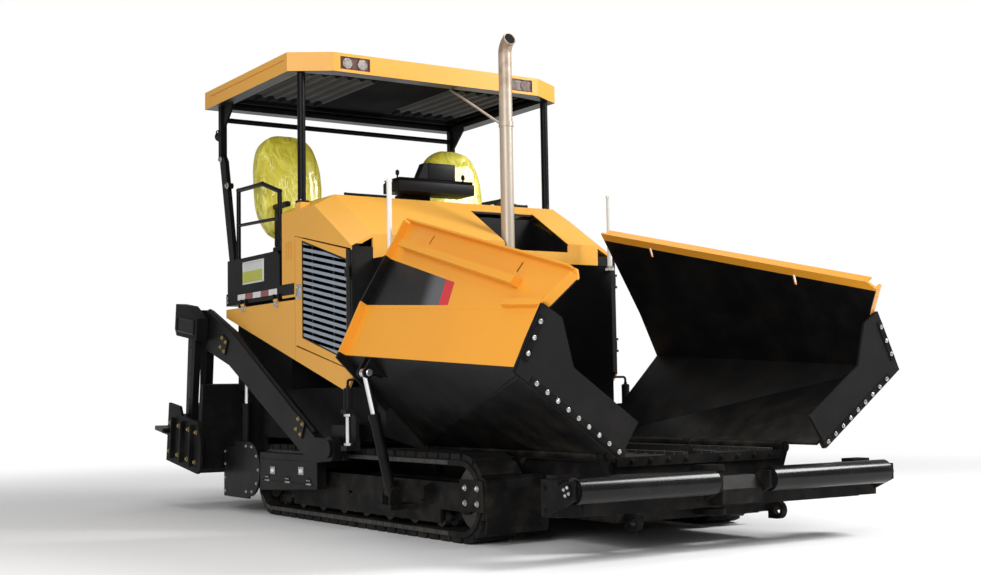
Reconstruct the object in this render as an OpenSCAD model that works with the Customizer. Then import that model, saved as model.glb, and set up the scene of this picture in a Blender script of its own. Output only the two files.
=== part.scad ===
/* [Conveyors] */
// Width of one conveyor
conveyor_w = 560; // [500:10:620]
// Inner edge of a conveyor, out from the middle
conveyor_in = 100; // [80:5:120]
// Distance between conveyor bars
bar_pitch = 150; // [120:10:200]
// From a conveyor's outer edge to the outside of the frame
tunnel_side = 60; // [50:5:80]
// Height of the conveyor tunnels
tunnel_h = 300; // [240:10:340]

/* [Tracks] */
// Gap between the frame and a track
track_gap = 140; // [120:5:170]
// Width of one track
track_w = 350; // [320:10:380]
// Height of a track loop over its pads
track_h = 600; // [560:10:640]
// Front idler axle, from the machine's middle
idler_y = -1890; // [-1950:10:-1850]
// Rear sprocket axle, from the machine's middle
sprocket_y = 1180; // [1140:10:1200]
// Height of the road pads on the shoes
pad_h = 42; // [30:2:50]
// Step in from the band's edges to the pads
pad_in = 14; // [8:2:24]
// Thickness of the chain band
band_t = 36; // [28:2:40]
// Shoes along each straight run
run_shoes = 20; // [16:1:22]
// Shoes round each end
end_shoes = 6; // [5:1:7]
// Thickness of the track frame's side plates
track_plate_t = 24; // [16:2:30]
// Radius of the bottom rollers
roller_r = 68; // [60:2:72]
// Number of bottom rollers on one side
bottom_rollers = 7; // [5:1:8]

/* [Chassis] */
// Underside of the belly plate
belly_z = 180; // [160:10:220]
// Drop of the hopper floor below the tops of the tracks
floor_drop = 40; // [30:5:60]
// Thickness of the hopper floor
floor_t = 20; // [14:2:26]
// Front end of the frame
tunnel_front = -2960; // [-2980:10:-2920]
// Gap between the tracks and the deck over them
deck_gap = 50; // [40:5:80]
// Height of the deck box
deck_h = 420; // [360:10:460]
// Step in from the side panels to the deck
deck_inset = 155; // [140:5:180]
// Rear face of the deck box
deck_rear = 1960; // [1900:10:1990]
// Radius of the bores in the front eyes
lug_r = 32; // [26:1:36]
// Thickness of the front eyes
lug_t = 40; // [30:2:50]

/* [Hopper] */
// Front edge of the wings
wing_front = -3200; // [-3220:10:-3160]
// Rear edge of the wings
wing_rear = -760; // [-800:10:-750]
// Wing hinge, out from the frame
hinge_out = 50; // [46:1:60]
// Wing hinge, over the hopper floor
hinge_up = 46; // [42:1:54]
// From the hinge out to the wing's front corner
wing_reach = 780; // [740:10:820]
// From the hinge up to the wing's front corner
wing_rise = 544; // [500:10:580]
// Inward run of the outer plate, from corner to fold
outer_in = 175; // [150:5:200]
// Height of the outer plate, from corner to fold
outer_up = 355; // [320:5:390]
// Rise of corner and fold towards the rear
rear_lift = 150; // [0:10:180]
// Inward lean of the upper plate, from upright
wing_lean = 31; // [28:1:34]
// Width of the upper plate at the front
upper_front = 290; // [250:10:330]
// Width of the upper plate at the rear
upper_rear = 760; // [700:10:800]
// Thickness of the wing plates
wing_t = 18; // [12:2:24]
// Forward lean of the upper plate's front edge
front_lean = 150; // [100:10:180]
// Width of the flanges round the wing
flange_w = 75; // [60:5:90]
// Radius of the wing hinge pin
wing_pin_r = 25; // [20:1:28]
// Reach of the rubber apron into the hopper
apron_w = 190; // [150:10:220]
// Thickness of the rubber apron
apron_t = 20; // [12:2:26]

/* [Push beam] */
// Radius of the push rollers
push_r = 80; // [70:2:84]
// Inner end of a push roller, out from the middle
push_in = 230; // [200:10:300]
// Outer end of a push roller, out from the side panels
push_over = 55; // [20:5:70]
// Height of the push roller axis
push_z = 430; // [420:5:440]
// Radius of the push roller shaft
push_pin_r = 25; // [20:1:30]
// Radius of the hub that the push beam swings on
hub_r = 80; // [70:2:90]

/* [Body] */
// How far the side panels stand out past the tracks
panel_over = 65; // [50:5:90]
// Thickness of the side panels
panel_t = 22; // [16:2:26]
// Front face of the hood
hood_front = -470; // [-490:5:-450]
// Front end of the hood's crest
crest_front = 176; // [140:4:220]
// Rear end of the hood
hood_rear = 800; // [780:5:820]
// Height of the hood's front shoulder
shoulder_z = 2250; // [2220:10:2280]
// Rise of the crest over the shoulder
crest_rise = 390; // [350:10:420]
// Width of the side shoulders
shoulder_w = 185; // [160:5:210]
// Drop of the side shoulders
shoulder_drop = 100; // [80:5:120]
// Lower front tip of the side panels, from the machine's middle
tip_y = -373; // [-390:1:-360]
// Height of the lower front tip
tip_z = 1033; // [1030:3:1060]
// Rise of the side panels' lower edge, per unit of length
edge_rise = 0.291; // [0.28:0.001:0.30]
// Rear seam of the grille doors
door_rear = 540; // [520:5:560]
// Height of a louvre slat
slat_h = 26; // [20:1:30]
// Number of louvre slats in a grille
slats = 17; // [12:1:18]

/* [Platform and roof] */
// Top of the operator platform
platform_z = 1940; // [1920:5:1960]
// Rear edge of the platform
platform_rear = 2010; // [1995:5:2030]
// Thickness of the platform's edge
platform_t = 110; // [90:5:120]
// Width of the side lockers
locker_w = 210; // [180:5:240]
// Height of the side lockers
locker_h = 300; // [240:10:340]
// From the platform to the top of the roof
headroom = 1910; // [1860:10:1960]
// Overhang of the roof past the side panels
roof_over = 88; // [60:4:120]
// Front edge of the roof
roof_front = 290; // [250:10:330]
// Rear edge of the roof
roof_rear = 2300; // [2260:10:2340]
// Height of the roof's fascia
roof_h = 160; // [140:5:180]
// Thickness of the roof's shell
roof_t = 24; // [16:2:30]
// Rise of the exhaust over the roof
exhaust_over = 150; // [100:10:200]
// Radius of the exhaust tube
exhaust_r = 55; // [45:1:60]

/* [Screed] */
// Overhang of the screed past the tow arms
screed_over = 120; // [80:5:140]
// Top of the screed's mouldboard, when it lies on the road
board_top = 820; // [760:10:860]
// Top of the screed's box, when it lies on the road
screed_top = 460; // [440:5:480]
// Tow point, from the machine's middle
tow_y = -260; // [-280:5:-240]
// Height of the tow point
tow_z = 600; // [590:5:610]
// Lift of the parked screed about the tow point
lift_deg = 7.5; // [7:0.1:7.6]
// Gap between the side panels and the tow arms
arm_gap = 30; // [26:1:40]
// Thickness of a tow arm
arm_t = 75; // [60:5:90]
// Auger radius
auger_r = 190; // [170:5:200]
// Auger pitch
auger_pitch = 360; // [300:10:420]

/* [Hidden] */
// Running clearance between a shaft and its bore
fit = 0.05;
// Clearance between moving pieces
gap = 8;
// Overlap of pieces welded to each other
weld = 5;
// Facets of a full circle
$fn = 48;
tunnel_x = conveyor_in + conveyor_w + tunnel_side;
track_in = tunnel_x + track_gap;
track_out = track_in + track_w;
track_x = (track_in + track_out) / 2;
track_r = track_h / 2;
band_r = track_r - pad_h;
bore_r = band_r - band_t;
plate_in = track_in + 40;
plate_out = track_out - 40;
floor_z = track_h - floor_drop;
tunnel_z = floor_z - floor_t;
tunnel_rear = sprocket_y + track_r;
slot_in = conveyor_in - 10;
slot_out = conveyor_in + conveyor_w + 10;
deck_z = track_h + deck_gap;
deck_top = deck_z + deck_h;
body_x = track_out + panel_over;
deck_x = body_x - deck_inset;
side_t = 30;
hood_x = body_x - shoulder_w;
crest_z = shoulder_z + crest_rise;
platform_low = platform_z - platform_t;
locker_in = body_x - locker_w;
locker_z = platform_z + locker_h;
roof_x = body_x + roof_over;
roof_z = platform_z + headroom;
roof_low = roof_z - roof_h;
exhaust_z = roof_z + exhaust_over;
exhaust_at = [220, hood_front + 80];
engine_front = hood_front + 150;
engine_top = shoulder_z - 170;
wall_y = hood_front - 180;
wall_top = shoulder_z - 190;
arm_x = body_x + arm_gap;
arm_out = arm_x + arm_t;
screed_x = arm_out + screed_over;
pivot = [tunnel_x + hinge_out, floor_z + hinge_up];
corner = pivot + [wing_reach, wing_rise];
fold = corner + [-outer_in, outer_up];
wing_run = wing_rear - wing_front;
// Shift of corner and fold from the front edge to the rear edge, along the outer plate
rear_shift = (fold - corner) * rear_lift / outer_up;
upper_way = [-sin(wing_lean), cos(wing_lean)];
knuckle_r = wing_pin_r + 14;
bracket_t = 60;
bracket_y = [tunnel_front + 10, (wing_front + wing_rear) / 2, wing_rear - 90];
hub_y = tunnel_front - hub_r - 20;
hub_pin_r = 30;
eye_at = [tunnel_front - 62, belly_z + 10];
foot_rear = 3390;
foot_z = 220;
rear_reach = tow_y + (foot_rear - tow_y) * cos(lift_deg) - (foot_z - tow_z) * sin(lift_deg);
push_y = push_r - rear_reach;
push_out = body_x + push_over;
tow_pin_r = 40;
// Lift cylinders: foot pins, eyes, and the planes that they stand in
foot_r = 20;
eye_r = 34;
wing_cyl_y = -1140;
wing_foot = [track_out + 115, 310];
wing_eye = pivot + [758, 560];
lift_x = arm_x - 75;
lift_foot = [1660, 450];
lift_eye = [1640, 1330];
auger_y = 1760;
auger_z = 420;
shaft_r = 30;

function unit(v) = v / norm(v);
function left_of(v) = [-v.y, v.x];
function before(p, i) = unit(i > 0 ? p[i] - p[i - 1] : p[1] - p[0]);
function after(p, i) = i < len(p) - 1 ? unit(p[i + 1] - p[i]) : before(p, i);
function mitre(p, i) = left_of(before(p, i)) + left_of(after(p, i));
function shifted(p, t, m) = p + m * 2 * t / (m * m);
// A path set off to its left by t, with mitred bends
function set_off(p, t) = [for (i = [0:len(p) - 1]) shifted(p[i], t, mitre(p, i))];
function turned_back(p) = [for (i = [len(p) - 1:-1:0]) p[i]];
// A bent sheet's outline, between two distances to the left of a path
function sheet(p, from, to) = concat(set_off(p, from), turned_back(set_off(p, to)));
function edge_z(y) = tip_z + (y - tip_y) * edge_rise;

module along_x(x0, x1) { translate([x0, 0, 0]) rotate([90, 0, 90]) linear_extrude(x1 - x0) children(); }
module along_y(y0, y1) { translate([0, y1, 0]) rotate([90, 0, 0]) linear_extrude(y1 - y0) children(); }
module along_z(z0, z1) { translate([0, 0, z0]) linear_extrude(z1 - z0) children(); }
module block(low, high) { translate(low) cube(high - low); }
module rod_x(x0, x1, p, r) { translate([x0, p[0], p[1]]) rotate([0, 90, 0]) cylinder(r = r, h = x1 - x0); }
module rod_y(y0, y1, p, r) { translate([p[0], y0, p[1]]) rotate([-90, 0, 0]) cylinder(r = r, h = y1 - y0); }
module rod_z(z0, z1, p, r) { translate([p[0], p[1], z0]) cylinder(r = r, h = z1 - z0); }
module strut(a, b, r) {
  d = b - a;
  translate(a) rotate([0, acos(d.z / norm(d)), atan2(d.y, d.x)]) cylinder(r = r, h = norm(d));
}
// A bent tube along points, with its bends closed by balls
module rail(points, r) {
  for (i = [1:len(points) - 1]) strut(points[i - 1], points[i], r);
  for (i = [1:len(points) - 2]) translate(points[i]) sphere(r + 3);
}
module both_sides() { children(); mirror([1, 0, 0]) children(); }
module right_side() { mirror([1, 0, 0]) children(); }
// A plate's outline with round ends at two points
module link(a, b, r) {
  d = b - a;
  translate(a) circle(r);
  translate(b) circle(r);
  translate(a) rotate(atan2(d.y, d.x)) translate([0, -r]) square([norm(d), 2 * r]);
}
// The screed hangs lifted about the tow point
module lifted() {
  translate([0, tow_y, tow_z]) rotate([lift_deg, 0, 0]) translate([0, -tow_y, -tow_z]) children();
}

module loop_outline(r) {
  translate([idler_y, track_r]) circle(r);
  translate([sprocket_y, track_r]) circle(r);
  translate([idler_y, track_r - r]) square([sprocket_y - idler_y, 2 * r]);
}
// One road pad, wider at its foot in the band
module pad_outline(w) {
  h = pad_h + band_t / 2;
  polygon([[-0.36 * w, 0], [0.36 * w, 0], [0.44 * w, h], [-0.44 * w, h]]);
}
module end_pads(turn) {
  w = PI * track_r / end_shoes;
  for (i = [0:end_shoes - 1])
    rotate(turn + (i + 0.5) * 180 / end_shoes) translate([track_r, 0]) rotate(90) pad_outline(w);
}
module track() {
  pitch = (sprocket_y - idler_y) / run_shoes;
  color([0.12, 0.12, 0.13]) {
    along_x(track_in, track_out) difference() {
      loop_outline(band_r);
      loop_outline(bore_r);
    }
    along_x(track_in + pad_in, track_out - pad_in) {
      for (i = [0:run_shoes - 1]) translate([idler_y + (i + 0.5) * pitch, 0]) {
        pad_outline(pitch);
        translate([0, track_h]) mirror([0, 1]) pad_outline(pitch);
      }
      intersection() {
        loop_outline(track_r);
        union() {
          translate([idler_y, track_r]) end_pads(90);
          translate([sprocket_y, track_r]) end_pads(-90);
        }
      }
    }
  }
}

foot_lug_t = 30;
module track_frame() {
  shelf = wing_foot.y - 80;
  // Deep middle part of the side plates, and the holes along it
  mid_y = idler_y + 330;
  mid_len = sprocket_y - idler_y - 700;
  hole_step = 560;
  hole_r = 55;
  brace_x = track_out + 40;
  brace_t = 26;
  color([0.15, 0.15, 0.16]) {
    for (x = [plate_in, plate_out - track_plate_t]) along_x(x, x + track_plate_t) difference() {
      union() {
        translate([idler_y, track_r]) circle(110);
        translate([sprocket_y, track_r]) circle(150);
        translate([idler_y, track_r - 90]) square([sprocket_y - idler_y, 190]);
        translate([mid_y, track_r - 185]) square([mid_len, 200]);
      }
      for (i = [1:4]) translate([idler_y + i * hole_step, track_r + 5]) circle(hole_r);
    }
    block([plate_in, mid_y, track_r - 30], [plate_out, mid_y + mid_len, track_r + 90]);
    for (y = [-1300, -350, 600])
      block([tunnel_x, y - 120, track_r - 10], [plate_in + weld, y + 120, track_r + 80]);
    // Foot of the wing's lift cylinder, reaching out through the loop
    block([plate_out - weld, wing_cyl_y - 100, shelf - 35], [wing_foot.x + 60, wing_cyl_y + 100, shelf]);
    for (s = [-1, 1]) translate([0, s * (45 + foot_lug_t / 2), 0])
      along_y(wing_cyl_y - foot_lug_t / 2, wing_cyl_y + foot_lug_t / 2) {
        translate(wing_foot) circle(44);
        translate([wing_foot.x - 50, shelf - weld]) square([100, wing_foot.y - shelf + weld]);
      }
    rod_y(wing_cyl_y - 85, wing_cyl_y + 85, wing_foot, foot_r);
    // Braces that stand on the frame beside the foot
    for (y = [wing_cyl_y - 330, wing_cyl_y + 180]) along_y(y, y + brace_t)
      polygon([[plate_out - weld, track_r - 60], [brace_x, track_r - 20], [brace_x, track_r + 60],
        [plate_out - weld, track_r + 90]]);
  }
}
module track_frames() { both_sides() track_frame(); }

module track_wheel_set() {
  in = plate_in + track_plate_t;
  out = plate_out - track_plate_t;
  seat = 0.3;
  color([0.2, 0.2, 0.21]) {
    rod_x(in, out, [idler_y, track_r], 60);
    rod_x(track_x - 50, track_x + 50, [idler_y, track_r], bore_r - seat);
    rod_x(in, out, [sprocket_y, track_r], 100);
    along_x(track_x - 45, track_x + 45) translate([sprocket_y, track_r]) difference() {
      circle(bore_r - seat);
      for (i = [0:13]) rotate(i * 360 / 14) translate([bore_r, 0]) circle(24);
    }
    for (i = [0:bottom_rollers - 1]) {
      y = idler_y + 420 + i * (sprocket_y - idler_y - 840) / (bottom_rollers - 1);
      axle = [y, track_r - bore_r + roller_r + seat];
      rod_x(in, out, axle, 30);
      for (x = [track_x - 75, track_x + 30]) rod_x(x, x + 45, axle, roller_r);
    }
  }
}
module track_wheels() { both_sides() track_wheel_set(); }

module track_guards() {
  y = idler_y - track_r - 22;
  wing_z = [226, 434];
  color([0.1, 0.1, 0.1]) both_sides() {
    along_x(tunnel_x, track_out + 5)
      polygon([[y + 60, 462], [y, 440], [y - 12, 380], [y - 12, 140], [y + 4, 84], [y + 22, 84], [y + 6, 144],
        [y + 6, 376], [y + 16, 426], [y + 66, 444]]);
    // Side wing, bolted against the track frame
    along_x(track_out + 3, track_out + 19)
      polygon([[y + 2, wing_z[0]], [y + 330, wing_z[0]], [y + 300, wing_z[1]], [y + 20, wing_z[1]]]);
  }
}

// Steps and tool boxes outside the tracks, and the shields at the auger's ends
module side_boxes() {
  in = track_out + gap;
  out = arm_x - weld;
  color([0.11, 0.11, 0.12]) both_sides() {
    difference() {
      along_x(in, out) polygon([[110, 270], [1210, 214], [1210, 534], [150, 534], [110, 500]]);
      for (z = [300, 480]) block([out - 6, 160, z], [out + 1, 1160, z + 8]);
    }
    for (y = [300, 860]) block([plate_out, y, 310], [in + weld, y + 60, 350]);
    along_x(out - 20, out) difference() {
      union() {
        translate([1460, 380]) circle(237);
        translate([1460, 123]) square([550, 444]);
        translate([1460, 500]) square([300, 117]);
      }
      translate([1440, 100]) square([600, 23]);
    }
    block([deck_x - side_t, deck_rear, 200], [out - 22, deck_rear + 16, 555]);
  }
}

module chassis() {
  bracket_z = tunnel_z - 4;
  eye_out_r = 2 * lug_r - 4;
  eye_x = 600;
  boss_t = 40;
  color([0.13, 0.13, 0.14]) {
    block([-tunnel_x, tunnel_front, belly_z], [tunnel_x, tunnel_rear, tunnel_z]);
    both_sides() {
      // Hinge pin of the wing and its brackets
      rod_y(tunnel_front, wing_rear, pivot, wing_pin_r);
      for (y = bracket_y) along_y(y, y + bracket_t) {
        translate(pivot) circle(knuckle_r);
        polygon([[tunnel_x - weld, tunnel_z - 160], [tunnel_x - weld, bracket_z], [tunnel_x + 3, bracket_z],
          pivot + [-30, 24], pivot + [20, -34]]);
      }
      // Side plate that carries the auger's end and the screed's lift cylinder
      block([deck_x - side_t, 1500, 200], [deck_x, deck_rear, deck_z + weld]);
      rod_x(deck_x - 10, arm_x - weld - 20, lift_foot, foot_r);
      // Eye for lashing and towing at the front
      along_x(eye_x, eye_x + lug_t) difference() {
        union() {
          translate(eye_at) circle(eye_out_r);
          translate(eye_at - [0, eye_out_r]) square([tunnel_front + 20 - eye_at.x, 2 * eye_out_r]);
        }
        translate(eye_at) circle(lug_r);
      }
      // Tunnel walls between the frame and the deck
      block([slot_out, hood_front, tunnel_z - weld], [tunnel_x, tunnel_rear, deck_z + weld]);
      // Steps up to the platform at the rear
      for (z = [1240, 1540]) block([180, deck_rear - weld, z], [620, deck_rear + 130, z + 30]);
    }
    // Deck over the tracks, with the two conveyor tunnels through it
    difference() {
      block([-deck_x, hood_front, deck_z], [deck_x, deck_rear, deck_top]);
      both_sides()
        block([slot_in, hood_front - 1, deck_z - 1], [slot_out, deck_rear + 1, floor_z + tunnel_h]);
    }
    block([-slot_in, hood_front, tunnel_z - weld], [slot_in, tunnel_rear, deck_z + weld]);
    // Rear body under the platform
    block([95 - body_x, hood_rear + 20, deck_top - weld], [body_x - 95, deck_rear, platform_low]);
    // Boss and pin of the push beam
    for (z = [belly_z + 20, tunnel_z - 60]) {
      block([-hub_r, hub_y, z], [hub_r, tunnel_front + weld, z + boss_t]);
      rod_z(z, z + boss_t, [0, hub_y], hub_r);
    }
    rod_z(belly_z + 50, tunnel_z - 50, [0, hub_y], hub_pin_r);
  }
}

module hopper_floor() {
  ridge_h = 80;
  color([0.1, 0.1, 0.1]) {
    block([-tunnel_x, tunnel_front, tunnel_z], [tunnel_x, hood_front, floor_z]);
    both_sides() block([slot_in, hood_front - weld, tunnel_z], [slot_out, tunnel_rear, floor_z]);
    // Ridge between the conveyors, with a sloped nose
    along_y(tunnel_front + 160, wall_y) polygon([[-slot_in, floor_z - 1], [slot_in, floor_z - 1],
      [slot_in / 2, floor_z + ridge_h], [-slot_in / 2, floor_z + ridge_h]]);
    block([-tunnel_x, tunnel_front - 20, tunnel_z - 10], [tunnel_x, tunnel_front, floor_z + 30]);
  }
}

module conveyors() {
  bar_h = 24;
  first = tunnel_front + 60;
  bars = floor((tunnel_rear - first) / bar_pitch);
  color([0.3, 0.3, 0.3]) both_sides() {
    for (x = [conveyor_in, conveyor_in + conveyor_w - 40])
      block([x, tunnel_front + 20, floor_z], [x + 40, tunnel_rear, floor_z + bar_h]);
    for (i = [0:bars - 1], y = [first + i * bar_pitch])
      block([conveyor_in, y, floor_z], [conveyor_in + conveyor_w, y + 30, floor_z + bar_h]);
  }
}

module hopper_wall() {
  low = deck_z + 40;
  color([0.08, 0.08, 0.08]) {
    along_y(wall_y, wall_y + 30) difference() {
      polygon([[-tunnel_x, floor_z], [tunnel_x, floor_z], [hood_x, low], [hood_x, wall_top],
        [-hood_x, wall_top], [-hood_x, low]]);
      for (s = [-1, 1]) translate([s * (slot_in + slot_out) / 2 - (slot_out - slot_in) / 2, floor_z - 1])
        square([slot_out - slot_in, tunnel_h + 1]);
    }
    both_sides() block([hood_x - 30, wall_y + 25, low], [hood_x, hood_front, wall_top]);
    block([-hood_x, wall_y + 25, wall_top - 30], [hood_x, hood_front, wall_top]);
  }
}

function corner_at(t) = corner + rear_shift * t;
function fold_at(t) = fold + rear_shift * t;
function wing_way(t) = unit(corner_at(t) - pivot);
// A flat plate through points in order, thick towards the side they turn round
module flat_plate(p, t) {
  u = unit(p[1] - p[0]);
  n = unit(cross(u, p[2] - p[0]));
  v = cross(n, u);
  multmatrix([[u.x, v.x, n.x, p[0].x], [u.y, v.y, n.y, p[0].y], [u.z, v.z, n.z, p[0].z], [0, 0, 0, 1]])
    linear_extrude(t) polygon([for (q = p) [(q - p[0]) * u, (q - p[0]) * v]]);
}
function at_y(p, y) = [p.x, y, p.y];
function square_to(d, w) = unit(w - d * (d * w));
// Reach of one plate into the next at a bend, and of the front flange past the plates' edge
lap = 17;
edge_over = 4;
outer_way = unit(fold - corner);
// The wing's bent plates: the lower one is folded along the line from its front corner to its rear hinge
module wing_plates() {
  root = pivot + wing_way(0) * (knuckle_r + 12);
  root_rear = at_y(root, wing_rear);
  corner_front = at_y(corner, wing_front);
  corner_rear = at_y(corner_at(1), wing_rear);
  crease = square_to(unit(root_rear - corner_front), corner_front - corner_rear) * 10;
  bend = square_to(unit(corner_rear - corner_front), corner_front - root_rear) * lap;
  flat_plate([at_y(root, wing_front), root_rear, at_y(corner + wing_way(0) * lap, wing_front)], wing_t);
  flat_plate([root_rear + crease, corner_rear + bend, corner_front + bend, corner_front + crease], wing_t);
  flat_plate([at_y(corner - outer_way * weld, wing_front), at_y(corner_at(1) - outer_way * weld, wing_rear),
    at_y(fold_at(1) + outer_way * lap, wing_rear), at_y(fold + outer_way * lap, wing_front)], wing_t);
  on_upper_plate() along_x(0, wing_t) polygon([[0, 0], [0, -lap], [rear_b(-lap), -lap],
    [rear_b(upper_rear), top_c(rear_b(upper_rear))], [nose - front_lean, top_c(nose - front_lean)],
    [-front_lean, nose_c]]);
}
// The upper plate's own frame: X out of the plate, Y along the fold, Z up the plate
fold_way = unit([rear_shift.x, wing_run, rear_shift.y]);
up_raw = [upper_way.x, 0, upper_way.y];
plate_up = unit(up_raw - fold_way * (fold_way * up_raw));
plate_out_way = cross(fold_way, plate_up);
module on_upper_plate() {
  multmatrix([
    [plate_out_way.x, fold_way.x, plate_up.x, fold.x],
    [plate_out_way.y, fold_way.y, plate_up.y, wing_front],
    [plate_out_way.z, fold_way.z, plate_up.z, fold.y],
    [0, 0, 0, 1]
  ]) children();
}
top_slope = (upper_rear - upper_front) / wing_run;
// The cut at the upper plate's front corner
nose = 60;
nose_c = upper_front - 80;
fold_len = wing_run / fold_way.y;
function top_c(b) = upper_front + top_slope * b;
function rear_b(c) = fold_len - c * plate_up.y / fold_way.y;
// A bar lying along the upper plate's top edge, set down by drop
module top_bar(from, to, drop, h, out) {
  translate([wing_t - 6, from, top_c(from) - drop]) rotate([atan(top_slope), 0, 0])
    cube([out + 6, (to - from) / cos(atan(top_slope)), h]);
}
// An upright slot through the upper plate, below its top edge
module slot_cut(b, drop, w, h) {
  translate([0, b, top_c(b) - drop]) rotate([atan(top_slope), 0, 0]) along_x(-100, 100) {
    translate([-w / 2, w / 2 - h / 2]) square([w, h - w]);
    for (end = [-1, 1]) translate([0, end * (h - w) / 2]) circle(w / 2);
  }
}
eye_gap = 34;
eye_lug_t = 20;
module wing() {
  flange_t = 20;
  slot_b = [560, 1980];
  slot_drop = 100;
  // Stiffening ledge below the top edge: where it starts, its drop, height and width
  ledge_b = 440;
  ledge_drop = 240;
  ledge_h = 55;
  ledge_w = 70;
  t_cyl = (wing_cyl_y - wing_front) / wing_run;
  eye_bend = corner_at(t_cyl);
  eye_way = unit(eye_bend - corner - (pivot - corner) * t_cyl);
  color([0.93, 0.62, 0.12]) {
    difference() {
      wing_plates();
      on_upper_plate() for (b = slot_b) slot_cut(b, slot_drop, 30, 90);
    }
    // Front and rear flanges, and the lip along the top
    along_y(wing_front - edge_over, wing_front + flange_t)
      polygon(sheet([pivot + wing_way(0) * 90, corner, fold], -4, -flange_w));
    along_y(wing_rear - flange_t, wing_rear + 2)
      polygon(sheet([pivot + wing_way(1) * 470, corner_at(1), fold_at(1),
        fold_at(1) + upper_way * (upper_rear - 20)], -4, -flange_w));
    on_upper_plate() {
      translate([wing_t - 6, 0, 0]) rotate([atan(front_lean / nose_c), 0, 0])
        cube([flange_w - wing_t, flange_t, norm([front_lean, nose_c]) - 4]);
      top_bar(nose - front_lean + 10, fold_len + 20, 18, 14, flange_w - 20);
      // Stiffening ledge under the lip, and a short one at the fold
      top_bar(ledge_b, fold_len - 120, ledge_drop, ledge_h, ledge_w);
      translate([wing_t - 6, 40, -4]) cube([42, 450, 46]);
    }
    // Hinge knuckles between the brackets
    for (i = [0, 1], y = [[bracket_y[i] + bracket_t + gap, bracket_y[i + 1] - gap]]) difference() {
      union() {
        rod_y(y[0], y[1], pivot, knuckle_r);
        for (e = [y[0] + 3, y[1] - 83]) along_y(e, e + 80) translate(pivot)
          rotate(atan2(wing_way(0).y, wing_way(0).x)) translate([wing_pin_r + 6, 4 - wing_t])
            square([60, wing_t - 8]);
      }
      rod_y(y[0] - 1, y[1] + 1, pivot, wing_pin_r + fit);
    }
    // Lugs for the lift cylinder's eye, under the corner
    for (s = [-1, 1]) translate([0, s * (eye_gap + eye_lug_t / 2), 0])
      along_y(wing_cyl_y - eye_lug_t / 2, wing_cyl_y + eye_lug_t / 2) {
        polygon(concat(set_off([eye_bend - eye_way * 210, eye_bend, eye_bend + outer_way * 40], -9),
          [wing_eye + [38, 6], wing_eye + [-38, -6]]));
        translate(wing_eye) circle(40);
      }
    for (s = [-1, 1], y = [wing_cyl_y + s * (eye_gap + 14)]) rod_y(y - 18, y + 18, wing_eye, foot_r);
  }
}

// Rubber sheet on the wing's front edge, reaching into the hopper
module wing_apron() {
  inward = left_of(wing_way(0)) * apron_w;
  foot = pivot + wing_way(0) * 95;
  color([0.07, 0.07, 0.07]) along_y(wing_front - edge_over - apron_t, wing_front - edge_over)
    polygon(concat(set_off([foot, corner, fold], 4 - flange_w),
      [fold + [-74, -54], corner - wing_way(0) * 265 + inward, foot + inward]));
}

barrel_r = 38;
rod_r = 22;
// Closed end of a barrel, from its foot pin to the bore
barrel_end = 56;
wing_barrel_len = 580;
wing_rod_len = 590;
lift_barrel_len = 500;
lift_rod_len = 520;
module cylinder_barrel(length, eye_w) {
  difference() {
    union() {
      cylinder(r = barrel_r, h = length);
      rotate([90, 0, 0]) translate([0, 0, -eye_w / 2]) cylinder(r = foot_r + 22, h = eye_w);
      translate([0, 0, length - 40]) cylinder(r = barrel_r + 6, h = 40);
    }
    translate([0, 0, barrel_end]) cylinder(r = rod_r + fit, h = length);
    rotate([90, 0, 0]) translate([0, 0, -eye_w]) cylinder(r = foot_r + fit, h = 2 * eye_w);
    for (s = [-1, 1]) translate([-100, s * (eye_w / 2 + 50) - 50, -100]) cube([200, 100, 160]);
  }
}
module cylinder_rod(reach, length, eye_w, eye_bore) {
  difference() {
    union() {
      translate([0, 0, reach - length]) cylinder(r = rod_r, h = length);
      translate([0, eye_w / 2, reach]) rotate([90, 0, 0]) cylinder(r = eye_r, h = eye_w);
    }
    translate([0, eye_w, reach]) rotate([90, 0, 0]) cylinder(r = eye_bore, h = 2 * eye_w);
  }
}
// Stands a cylinder drawn upwards on its foot, towards its eye, in the plane across the machine
module on_wing_foot() {
  d = wing_eye - wing_foot;
  translate([wing_foot.x, wing_cyl_y, wing_foot.y]) rotate([0, atan2(d.x, d.y), 0]) children();
}
module wing_barrel() { color([0.1, 0.1, 0.1]) on_wing_foot() cylinder_barrel(wing_barrel_len, 70); }
module wing_rod() {
  color([0.8, 0.8, 0.82]) on_wing_foot() cylinder_rod(norm(wing_eye - wing_foot), wing_rod_len, 50, foot_r);
}
// Stands a cylinder on its foot at the machine's rear corner, in the plane along the machine
module on_lift_foot() {
  d = lift_eye - lift_foot;
  translate([lift_x, lift_foot.x, lift_foot.y])
    rotate([-atan2(d.x, d.y), 0, 0]) rotate([0, 0, 90]) children();
}
module lift_barrel() { color([0.1, 0.1, 0.1]) on_lift_foot() cylinder_barrel(lift_barrel_len, 60); }
module lift_rod() {
  color([0.8, 0.8, 0.82]) on_lift_foot()
    cylinder_rod(norm(lift_eye - lift_foot), lift_rod_len, 56, foot_r + 7);
}

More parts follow.
